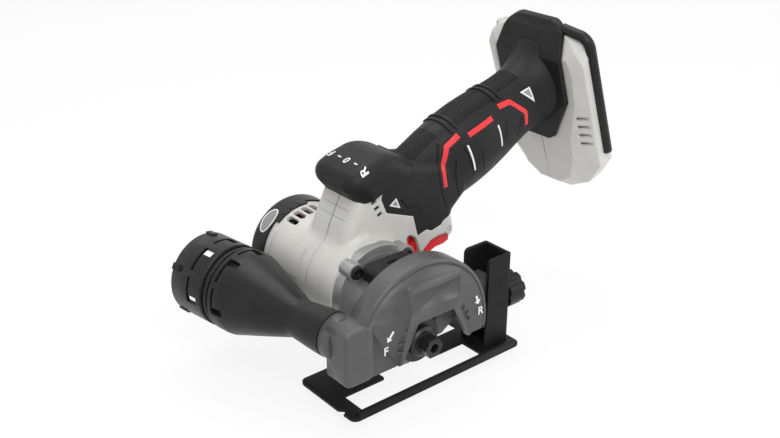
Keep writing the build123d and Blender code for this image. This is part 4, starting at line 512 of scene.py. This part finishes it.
def slab(name, corners, low_mm, high_mm):
    """A flat block between two heights."""
    piece = cut_plate(name, corners)
    piece.location.z = low_mm * MM
    add_wall(piece, high_mm - low_mm, offset=1.0)
    apply_modifiers(piece)
    bpy.ops.object.transform_apply(location=True, rotation=False, scale=False)
    return piece


def field(x_low, x_high, y_low, y_high):
    """Corners of a four-sided outline."""
    return [(x_low, y_low), (x_high, y_low), (x_high, y_high), (x_low, y_high)]


def ring_block(name, r_in, r_out, u_in, u_out, start, sweep, steps):
    """A block with curved faces round its own Z: a flat section, spun from one angle over a sweep."""
    bpy.ops.object.select_all(action="DESELECT")
    bpy.ops.mesh.primitive_plane_add(
        size=1.0,
        location=((r_in + r_out) / 2 * MM, 0.0, (u_in + u_out) / 2 * MM),
        rotation=(math.pi / 2, 0.0, 0.0),
    )
    piece = added(name)
    piece.scale = ((r_out - r_in) * MM, (u_out - u_in) * MM, 1.0)
    bpy.ops.object.transform_apply(location=True, rotation=True, scale=True)
    edit_all()
    bpy.ops.mesh.spin(steps=steps, angle=-math.radians(sweep), center=ORIGIN, axis=ALONG_Z)
    bpy.ops.mesh.select_all(action="SELECT")
    bpy.ops.mesh.normals_make_consistent(inside=False)
    edit_done()
    piece.rotation_euler.z = math.radians(start)
    bpy.ops.object.transform_apply(location=False, rotation=True, scale=False)
    return piece


def lay_on(piece, skin, height_mm, edge_mm=0.0):
    """The flat piece drops on the skin along its own Z, then gets its height and a soft edge."""
    add_drop(piece, skin)
    add_wall(piece, height_mm, offset=0.5)
    if edge_mm > 0:
        add_soft_edge(piece, edge_mm, segments=2)
    apply_modifiers(piece)


def sign(name, letter, height_mm, origin, across, up, skin):
    """A plain white letter that lies on the skin."""
    capital_share, stroke_share = 0.7, 0.03
    sign_mm = 0.25
    bpy.ops.object.select_all(action="DESELECT")
    bpy.ops.object.text_add()
    piece = added(name)
    piece.data.body = letter
    piece.data.align_x = "CENTER"
    piece.data.align_y = "CENTER"
    piece.data.size = height_mm * MM / capital_share
    piece.data.offset = stroke_share * height_mm * MM
    bpy.ops.object.convert(target="MESH")
    piece = bpy.context.object
    stand(piece, origin, across, up)
    lay_on(piece, skin, sign_mm)
    settle(piece, "tool_body", "accent_white")


def bar_on(name, skin, origin, across, along, width_mm, length_mm, cells, height_mm, edge_mm=0.0):
    """A flat bar that lies on the skin, in cells along its length so that it follows a curve."""
    bar = flat_grid(name, width_mm, length_mm, 1, cells)
    stand(bar, origin, across, along)
    lay_on(bar, skin, height_mm, edge_mm)
    return bar


# The pieces themselves

def guard_marks():
    """Plain turning marks on the guard's face: an arrow, a letter and three small ticks at each end."""
    skin = skin_of("guard")
    mark_y = guard_face_y - 6.0
    letter_mm = 4.6
    head_mm, head_half_mm, shaft_half_mm, arrow_mm = 2.5, 2.2, 0.7, 0.25
    tick_width_mm, tick_past_mm, tick_mm, tick_edge_mm = 0.9, 0.5, 0.8, 0.2
    front_ticks = (
        ((-14.3, 9.4), (-12.3, 10.9)), ((-17.1, 4.9), (-14.2, 4.5)), ((-18.0, 0.7), (-14.9, -0.4)),
    )
    rear_ticks = (
        ((28.3, 9.5), (29.5, 10.5)), ((30.6, 5.4), (32.1, 6.6)), ((32.0, 1.5), (33.5, 2.3)),
    )
    for side, letter, letter_at, tail, tip, ticks in (
        ("front", "F", (-25.1, 3.7), (-20.2, 13.9), (-24.3, 8.7), front_ticks),
        ("rear", "R", (40.7, 3.8), (37.2, 13.9), (38.9, 8.5), rear_ticks),
    ):
        sign("guard_letter_" + side, letter, letter_mm, (letter_at[0], mark_y, letter_at[1]),
             ALONG_X, ALONG_Z, skin)
        way = Vector((tip[0] - tail[0], tip[1] - tail[1])).normalized()
        wide = Vector((-way.y, way.x))
        neck = Vector(tip) - head_mm * way
        tail = Vector(tail)
        head = cut_plate("guard_arrow_" + side,
                         [neck - head_half_mm * wide, tip, neck + head_half_mm * wide])
        shaft = cut_plate("shaft", [tail - shaft_half_mm * wide, neck - shaft_half_mm * wide,
                                    neck + shaft_half_mm * wide, tail + shaft_half_mm * wide])
        arrow = joined([head, shaft], "guard_arrow_" + side)
        stand(arrow, (0.0, mark_y, 0.0), ALONG_X, ALONG_Z)
        lay_on(arrow, skin, arrow_mm)
        settle(arrow, "tool_body", "accent_white")
        for number, (start, end) in enumerate(ticks):
            run = Vector((end[0] - start[0], 0.0, end[1] - start[1]))
            middle = ((start[0] + end[0]) / 2, mark_y, (start[1] + end[1]) / 2)
            tick = bar_on(f"guard_tick_{side}_{number + 1}", skin, middle, run.cross(-ALONG_Y), run,
                          width_mm=tick_width_mm, length_mm=run.length + tick_past_mm, cells=4,
                          height_mm=tick_mm, edge_mm=tick_edge_mm)
            settle(tick, "tool_body", "guard_coat")
    bpy.data.objects.remove(skin)


def dome_marks():
    """Marks of the turning selector across the dome: R, 0 and F with a dash between."""
    skin = skin_of("pommel_cap")
    mark_x, above_z = 1.0, 120.0
    letter_mm = 4.4
    for name, letter, y in (("reverse", "R", 42.6), ("off", "0", 57.5), ("forward", "F", 71.0)):
        sign("dome_letter_" + name, letter, letter_mm, (mark_x, y, above_z), ALONG_Y, -ALONG_X, skin)
    for name, y in (("reverse", 50.0), ("forward", 64.2)):
        dash = bar_on("dome_dash_" + name, skin, (mark_x, y, above_z), -ALONG_X, -ALONG_Y,
                      width_mm=0.9, length_mm=2.8, cells=6, height_mm=0.25)
        settle(dash, "tool_body", "accent_white")
    bpy.data.objects.remove(skin)


def lit_windows():
    """Small three-cornered windows of the grip, white rim and grey pane, on both sides."""
    skin = skin_of("grip_left", "grip_right")
    rim_mm, window_mm = 0.95, 0.5
    above_mm = 6.0
    for name, corners in (
        ("neck", ((16.8, 41.7, 55.6), (24.5, 41.6, 52.2), (21.6, 41.6, 59.0))),
        ("foot", ((117.9, 45.3, 97.6), (126.9, 41.6, 90.8), (125.0, 44.8, 99.7))),
    ):
        for side in ("near", "far"):
            a, b, c = (Vector(corner) for corner in corners)
            if side == "far":
                a, b, c = (Vector((p.x, 2 * part_y - p.y, p.z)) for p in (a, c, b))
            centre = (a + b + c) / 3
            across = (b - a).normalized()
            out = across.cross(c - a).normalized()
            up = out.cross(across)
            outline = [((p - centre).dot(across), (p - centre).dot(up)) for p in (a, b, c)]
            window = cut_plate(f"window_{name}_{side}", outline)
            window.data.materials.append(finishes["accent_white"])
            window.data.materials.append(finishes["inset_grey"])
            edit_all()
            bpy.ops.mesh.inset(thickness=rim_mm * MM)
            window.active_material_index = 1
            bpy.ops.object.material_slot_assign()
            bpy.ops.mesh.select_all(action="SELECT")
            bpy.ops.mesh.subdivide(number_cuts=3)
            edit_done()
            stand(window, centre + above_mm * out, across, up)
            lay_on(window, skin, window_mm)
            settle(window, "tool_body", "accent_white")
    bpy.data.objects.remove(skin)


def inset_rim():
    """Bright rim round the oval inset of the motor end cap."""
    skin = skin_of("motor_end_cap", "end_cap_inset")
    half_wide, half_high = 4.5, 8.0
    inner_half_wide, inner_half_high = 3.6, 7.1
    rim_mm, rim_edge_mm = 0.6, 0.15
    above_mm = 5.0
    bpy.ops.object.select_all(action="DESELECT")
    bpy.ops.mesh.primitive_circle_add(vertices=72, radius=1.0)
    rim = added("inset_rim")
    edit_all()
    bpy.ops.mesh.extrude_region_move()
    bpy.ops.transform.resize(value=(inner_half_wide / half_wide, inner_half_high / half_high, 1.0),
                             center_override=ORIGIN)
    bpy.ops.mesh.select_all(action="SELECT")
    bpy.ops.mesh.normals_make_consistent(inside=False)
    edit_done()
    rim.scale = (half_wide * MM, half_high * MM, 1.0)
    bpy.ops.object.transform_apply(location=False, rotation=False, scale=True)
    stand(rim, inset_centre + above_mm * inset_out, ALONG_Y, inset_out.cross(ALONG_Y))
    lay_on(rim, skin, rim_mm, rim_edge_mm)
    settle(rim, "tool_body", "accent_white")
    bpy.data.objects.remove(skin)


def hose_adapter():
    """The hose adapter: a turned body whose sleeve goes over the port, with bayonet slots and end lugs."""
    # Radius and distance from the port's mouth, up the outside and back down the bore
    sleeve_and_cone = [
        (12.2, -4.5), (12.0, 0.8), (10.5, 18.2), (10.6, 19.4), (10.9, 20.6), (11.5, 22.4), (15.1, 33.0),
        (18.9, 44.4), (21.7, 53.0), (22.6, 55.6), (23.2, 57.4), (23.5, 59.6), (23.5, 66.0), (22.9, 66.6),
    ]
    ring_groove = [
        (21.5, 66.8), (21.5, 68.2), (22.4, 68.4), (22.7, 68.8), (22.7, 70.0), (22.4, 70.4), (21.5, 70.6),
        (21.5, 72.0), (22.9, 72.2), (23.5, 72.8),
    ]
    outlet_and_bore = [
        (23.5, 96.4), (23.1, 97.0), (21.5, 97.0), (21.5, 74.0), (19.5, 72.0), (19.5, 52.0), (17.6, 46.0),
        (13.6, 33.0), (9.5, 20.0), (9.5, 0.4), (11.2, 0.4), (11.2, -4.5),
    ]
    section = sleeve_and_cone + ring_groove + outlet_and_bore
    moves = [((r_next - r) * MM, 0.0, (u_next - u) * MM)
             for (r, u), (r_next, u_next) in zip(section, section[1:] + section[:1])]
    body = edge_chain("hose_adapter", (section[0][0] * MM, 0.0, section[0][1] * MM), moves)
    edit_all()
    bpy.ops.mesh.remove_doubles(threshold=SAME_PLACE)
    bpy.ops.mesh.spin(steps=96, angle=2 * math.pi, center=ORIGIN, axis=ALONG_Z)
    bpy.ops.mesh.select_all(action="SELECT")
    bpy.ops.mesh.remove_doubles(threshold=SAME_PLACE)
    bpy.ops.mesh.normals_make_consistent(inside=False)
    edit_done()

    slit_mm, slit_r = 1.7, 21.0
    notch_mm, notch_r, notch_sweep = 6.0, 20.6, 11.0
    past_r = 25.0
    cuts = []
    for slit_u in (62.0, 82.0):
        slit_end = slit_u + slit_mm
        for turn in (0.0, 180.0):
            for start, sweep, notch in ((-97.0, 31.0, 20.0), (-145.0, 36.0, 26.0), (-190.0, 36.0, 0.0)):
                cuts.append(ring_block("slit", slit_r, past_r, slit_u, slit_end, start + turn, sweep, 10))
                cuts.append(ring_block("notch", notch_r, past_r, slit_u - notch_mm, slit_end,
                                       start + turn + notch, notch_sweep, 4))
    carve(body, joined(cuts, "slot_cutter"), crossing=True)

    lug_r, lug_out_r, lug_u, outlet_u, lug_sweep = 23.2, 24.2, 91.5, 97.0, 9.0
    lugs = [ring_block("lug", lug_r, lug_out_r, lug_u, outlet_u, start, lug_sweep, 4)
            for start in (-154.0, -82.0, -10.0, 62.0, 134.0)]
    body = joined([body] + lugs, "hose_adapter")
    stand(body, port_mouth, port_side, -ALONG_Z)
    settle(body, "adapter", "black_plastic")
    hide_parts("dust_adapter")


def over_grip(along_mm):
    """A point above the grip's top, at a distance along the handle."""
    return handle_foot + along_mm * handle_way + 50.0 * handle_up


def grip_ridges():
    """Fine ridges across the top of the grip, and two pairs of raised rings between them."""
    skin = skin_of("grip_left", "grip_right")
    pitch, ridge_width_mm, ridge_mm, ridge_edge_mm = 1.3, 0.65, 0.26, 0.08
    for name, start, end, half_width in (
        ("front", -54.0, -33.0, 8.5), ("middle", -18.0, 9.5, 11.0), ("rear", 16.5, 34.0, 8.5),
    ):
        ridges = flat_grid("grip_ridges_" + name, ridge_width_mm, 2 * half_width, 1, 20)
        row = ridges.modifiers.new("row", "ARRAY")
        row.count = int((end - start) / pitch) + 1
        row.use_relative_offset = False
        row.use_constant_offset = True
        row.constant_offset_displace = (pitch * MM, 0.0, 0.0)
        stand(ridges, over_grip(start), handle_way, ALONG_Y)
        lay_on(ridges, skin, ridge_mm, ridge_edge_mm)
        settle(ridges, "tool_body", "soft_grip")
    for name, along in (("front", -22.3), ("rear", 12.8)):
        for edge, off in (("a", -1.9), ("b", 1.9)):
            ring = bar_on(f"grip_ring_{name}_{edge}", skin, over_grip(along + off), handle_way, ALONG_Y,
                          width_mm=1.7, length_mm=24.0, cells=30, height_mm=1.3, edge_mm=0.45)
            settle(ring, "tool_body", "soft_grip")
    bpy.data.objects.remove(skin)


def barrel_label():
    """Bare label plate on the barrel."""
    sunk_mm, proud_mm = 0.1, 0.15
    label = ring_block("barrel_label", barrel_r - sunk_mm, barrel_r + proud_mm, u_in=66.0, u_out=95.0,
                       start=-177.0, sweep=38.0, steps=24)
    stand(label, (0.0, 0.0, barrel_z), ALONG_X, -ALONG_Z)
    settle(label, "tool_body", "housing_plastic")


def vent_painted_shades():
    """Dark blocks set a little below the skin in the neck's vents, on both sides: painted shade for the
    vents' dark insides.
    """
    half_long, half_high, shade_mm, shade_edge_mm = 1.55, 1.05, 2.0, 0.15
    first_x, first_z, step_x, step_z = 6.2, 60.8, 2.0, 4.2
    for row in range(3):
        for side, y in (("near", part_y - 16.7), ("far", part_y + 14.7)):
            shade = cut_plate(f"vent_painted_shade_{row + 1}_{side}",
                              field(-half_long, half_long, -half_high, half_high))
            add_wall(shade, shade_mm)
            add_soft_edge(shade, shade_edge_mm, segments=1)
            apply_modifiers(shade)
            stand(shade, (first_x + step_x * row, y, first_z - step_z * row), handle_way, handle_up)
            settle(shade, "tool_body", "black_plastic")


def neck_flare():
    """Soft flare where the neck grows out of the barrel: on each side, a sheet laid on and relaxed."""
    skin = skin_of("housing_left", "housing_right", "gear_case")
    end_x, fade_x, end_z, fade_z = 4.0, 8.0, 48.0, 3.0
    reach_out, reach_y = 15.0, 27.0
    start_mm, sunk_mm, sheet_mm = 40.0, 0.08, 0.8
    for side, way in (("near", -1.0), ("far", 1.0)):
        out = Vector((-0.70, 0.25 * way, 0.67)).normalized()
        across = ALONG_Z.cross(out).normalized()
        centre = Vector((-14.0, part_y + 14.0 * way, 37.0))
        sheet = flat_grid("neck_flare_" + side, 48.0, 52.0, 80, 88)
        stand(sheet, centre + start_mm * out, across, out.cross(across))
        add_drop(sheet, skin)
        apply_modifiers(sheet)
        bpy.ops.object.transform_apply(location=True, rotation=True, scale=True)
        loose = sheet.vertex_groups.new(name="loose")
        for corner in sheet.data.vertices:
            share_x = (end_x * MM - corner.co.x) / (fade_x * MM)
            share_z = (end_z * MM - corner.co.z) / (fade_z * MM)
            loose.add([corner.index], min(1.0, max(0.0, min(share_x, share_z))), "REPLACE")
        relax = sheet.modifiers.new("relax", "SMOOTH")
        relax.factor = 0.5
        relax.iterations = 160
        relax.vertex_group = "loose"
        apply_modifiers(sheet)
        for point, normal in (
            (centre + reach_out * out, out),
            (end_z * ALONG_Z, ALONG_Z),
            (end_x * ALONG_X, ALONG_X),
            (part_y * ALONG_Y, -way * ALONG_Y),
            ((part_y + reach_y * way) * ALONG_Y, way * ALONG_Y),
        ):
            trim(point * MM, normal)
        bpy.ops.mesh.select_all(action="SELECT")
        bpy.ops.transform.translate(value=-sunk_mm * MM * out)
        edit_done()
        add_wall(sheet, sheet_mm)
        apply_modifiers(sheet)
        settle(sheet, "tool_body", "housing_plastic")
    bpy.data.objects.remove(skin)


def foot_place(u, v, w):
    """A point given along the battery face's normal, up it and across it."""
    return u * foot_out + v * foot_up + (part_y + w) * ALONG_Y


def foot_plate():
    """The foot's black plate with the corners of its outline rounded off, shown in its node's place."""
    plate_u, past_mm, corner_mm = 172.0, 40.0, 4.0
    half = [(12.05, 7.95), (25.36, 34.9), (25.36, 64.0), (22.53, 77.06), (15.93, 81.76)]
    plate = merged_copy("foot_panel", "foot_plate")
    outline = cut_plate("plate_outline", half + [(-w, v) for w, v in reversed(half)])
    edit_all()
    bpy.ops.mesh.bevel(offset=corner_mm * MM, segments=6, affect="VERTICES")
    edit_done()
    add_wall(outline, past_mm, offset=0.0)
    apply_modifiers(outline)
    stand(outline, foot_place(plate_u, 0.0, 0.0), ALONG_Y, foot_up)
    carve(plate, outline, operation="INTERSECT")
    settle(plate, "tool_body", "soft_grip")
    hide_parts("foot_panel")


def bumper_bar(route):
    """A round bar along a route of points, closed and softened at both ends."""
    bar_r, end_mm = 3.2, 1.2
    moves = [(there - here) * MM for here, there in zip(route, route[1:])]
    edge_chain("foot_bumper", route[0] * MM, moves)
    bpy.ops.object.convert(target="CURVE")
    bar = bpy.context.object
    bar.data.bevel_depth = bar_r * MM
    bar.data.bevel_resolution = 5
    bar.data.use_fill_caps = True
    bpy.ops.object.convert(target="MESH")
    bar = bpy.context.object
    edit_all()
    bpy.ops.mesh.remove_doubles(threshold=SAME_PLACE)
    bpy.ops.mesh.normals_make_consistent(inside=False)
    edit_done()
    add_soft_edge(bar, end_mm, segments=3, sharper_than=60.0)
    apply_modifiers(bar)
    return bar


def foot_bumper_bars():
    """The foot's bumper bars: the near one turns over the top corner, the far one stays on the side."""
    bar_u, side_w, low_v = 180.0, 38.5, -3.0
    bend_w, bend_v, bend_r = -31.0, 68.5, 7.5
    bend = []
    for turn in range(0, 91, 10):
        angle = math.radians(turn)
        bend.append((bend_w - bend_r * math.sin(angle), bend_v + bend_r * math.cos(angle)))
    near = [(-19.5, 77.6)] + bend + [(-side_w, low_v)]
    far = [(side_w, 62.0), (side_w, low_v)]
    bars = [bumper_bar([foot_place(bar_u, v, w) for w, v in route]) for route in (near, far)]
    bumpers = joined(bars, "foot_bumper_bars")
    settle(bumpers, "tool_body", "black_plastic")
    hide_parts("foot_bumpers")


def shoe_frame():
    """The shoe's plate with rounded corners, its long window, the bays behind it and two upturned edges."""
    plate_low, plate_high = -31.0, -29.0
    cut_low, cut_high = -33.0, -27.0
    lip_low, lip_high = -29.5, -26.0
    corner_r = 4.0
    outline = []
    for x, y, turn in ((70.0, -3.0, -90.0), (70.0, 37.4, 0.0), (-42.0, 37.4, 90.0), (-42.0, -3.0, 180.0)):
        for step in range(5):
            angle = math.radians(turn + 22.5 * step)
            outline.append((x + corner_r * math.cos(angle), y + corner_r * math.sin(angle)))
    frame_plate = slab("shoe_frame", outline, plate_low, plate_high)
    openings = [slab(name, corners, cut_low, cut_high) for name, corners in (
        ("window", field(-36.5, 48.5, -3.9, 14.3)),
        ("bay", field(-9.0, 31.0, 13.0, 45.0)),
        ("rear_bay", field(30.0, 57.0, 28.0, 45.0)),
        ("notch", [(-48.8, 4.0), (-46.0, 1.2), (-43.2, 4.0), (-46.0, 6.8)]),
    )]
    carve(frame_plate, joined(openings, "window_cutter"), crossing=True)
    near_edge = slab("near_edge", field(-42.0, 70.0, -7.0, -4.6), lip_low, lip_high)
    rear_edge = slab("rear_edge", field(72.0, 74.0, 21.3, 37.4), lip_low, lip_high)
    frame_plate = joined([frame_plate, near_edge, rear_edge], "shoe_frame")
    add_soft_edge(frame_plate, 0.35, segments=2, sharper_than=40.0)
    apply_modifiers(frame_plate)
    settle(frame_plate, "shoe", "shoe_plate")
    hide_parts("base_plate")


def guard_shell():
    """The guard with the low corner of its back wall left open behind the arch."""
    wedge_y, wedge_mm = 2.0, 4.0
    shell = merged_copy("guard", "guard_shell")
    wedge = cut_plate("wedge", [(19.0, -9.5), (36.5, -9.5), (36.5, -2.0), (30.5, -2.0)])
    stand(wedge, (0.0, wedge_y, 0.0), ALONG_X, ALONG_Z)
    add_wall(wedge, wedge_mm)
    apply_modifiers(wedge)
    carve(shell, wedge)
    settle(shell, "tool_body", "guard_coat")
    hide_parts("guard")


# Floor, surround, lamps and camera

def rays_of(tree, first, *others):
    """1 for rays of the given kinds and 0 for all others."""
    ray = tree.nodes.new("ShaderNodeLightPath")
    chosen = ray.outputs[first]
    for kind in others:
        chosen = math_node(tree, "MAXIMUM", chosen, ray.outputs[kind])
    return chosen


def pale_floor():
    """Pale floor just below the lowest place of the shoe."""
    shoe_travel_mm = 6.2
    white_share = 0.86
    floor_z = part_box("base_plate")[0].z - shoe_travel_mm * MM
    bpy.ops.mesh.primitive_plane_add(size=8.0, location=(0.0, 0.0, floor_z))
    floor = added("floor")
    material = bpy.data.materials.new("pale_floor")
    material.use_nodes = True
    tree = material.node_tree
    shader = tree.nodes["Principled BSDF"]
    shader.inputs["Base Color"].default_value = (0.86, 0.86, 0.86, 1.0)
    shader.inputs["Roughness"].default_value = 0.9
    glow = tree.nodes.new("ShaderNodeEmission")
    seen = rays_of(tree, "Is Camera Ray", "Is Glossy Ray")
    mix = tree.nodes.new("ShaderNodeMixShader")
    tree.links.new(math_node(tree, "MULTIPLY", seen, white_share), mix.inputs["Fac"])
    tree.links.new(shader.outputs["BSDF"], mix.inputs[1])
    tree.links.new(glow.outputs["Emission"], mix.inputs[2])
    tree.links.new(mix.outputs["Shader"], tree.nodes["Material Output"].inputs["Surface"])
    floor.data.materials.append(material)


def white_surround():
    """A surround that looks white and lights the tool softly."""
    light_level = 0.47
    world = bpy.data.worlds.new("studio")
    bpy.context.scene.world = world
    world.use_nodes = True
    tree = world.node_tree
    backdrop = tree.nodes["Background"]
    seen = rays_of(tree, "Is Camera Ray", "Is Glossy Ray", "Is Transmission Ray")
    tree.links.new(span(tree, seen, 0.0, 1.0, light_level, 1.0), backdrop.inputs["Strength"])
    backdrop.inputs["Color"].default_value = (1.0, 1.0, 1.0, 1.0)


def soft_lamps():
    """Three soft lamps that look at the middle of the tool; places and sizes in metres."""
    aim = Vector((0.05, 0.04, 0.05))
    for name, place, size, power in (
        ("key_softbox", (-0.35, -0.75, 0.95), 0.7, 9.0),
        ("top_softbox", (0.15, 0.35, 1.1), 0.8, 7.0),
        ("side_fill", (0.95, -0.45, 0.35), 0.8, 3.0),
    ):
        bpy.ops.object.light_add(type="AREA", location=place)
        lamp = added(name)
        lamp.data.size = size
        lamp.data.energy = power
        lamp.rotation_euler = (aim - Vector(place)).to_track_quat("-Z", "Y").to_euler()


def photo_camera():
    """Camera of the photograph: 39 degrees to the left and 25 degrees down."""
    azimuth, elevation = math.radians(-39.392), math.radians(25.0045)
    back = Vector((math.sin(azimuth) * math.cos(elevation),
                   -math.cos(azimuth) * math.cos(elevation),
                   math.sin(elevation)))
    bpy.ops.object.camera_add(location=(-0.3115, -0.35896, 0.28943))
    camera = bpy.context.object
    camera.rotation_euler = (-back).to_track_quat("-Z", "Y").to_euler()
    camera.data.sensor_fit = "HORIZONTAL"
    camera.data.sensor_width = 36.0
    camera.data.lens = 48.66
    camera.data.clip_start = 0.01
    bpy.context.scene.camera = camera


bpy.ops.object.select_all(action="DESELECT")
dress_nodes()
guard_marks()
dome_marks()
lit_windows()
inset_rim()
hose_adapter()
grip_ridges()
barrel_label()
vent_painted_shades()
neck_flare()
foot_plate()
foot_bumper_bars()
shoe_frame()
guard_shell()
pale_floor()
white_surround()
soft_lamps()
photo_camera()
bpy.context.scene.view_settings.view_transform = "Standard"
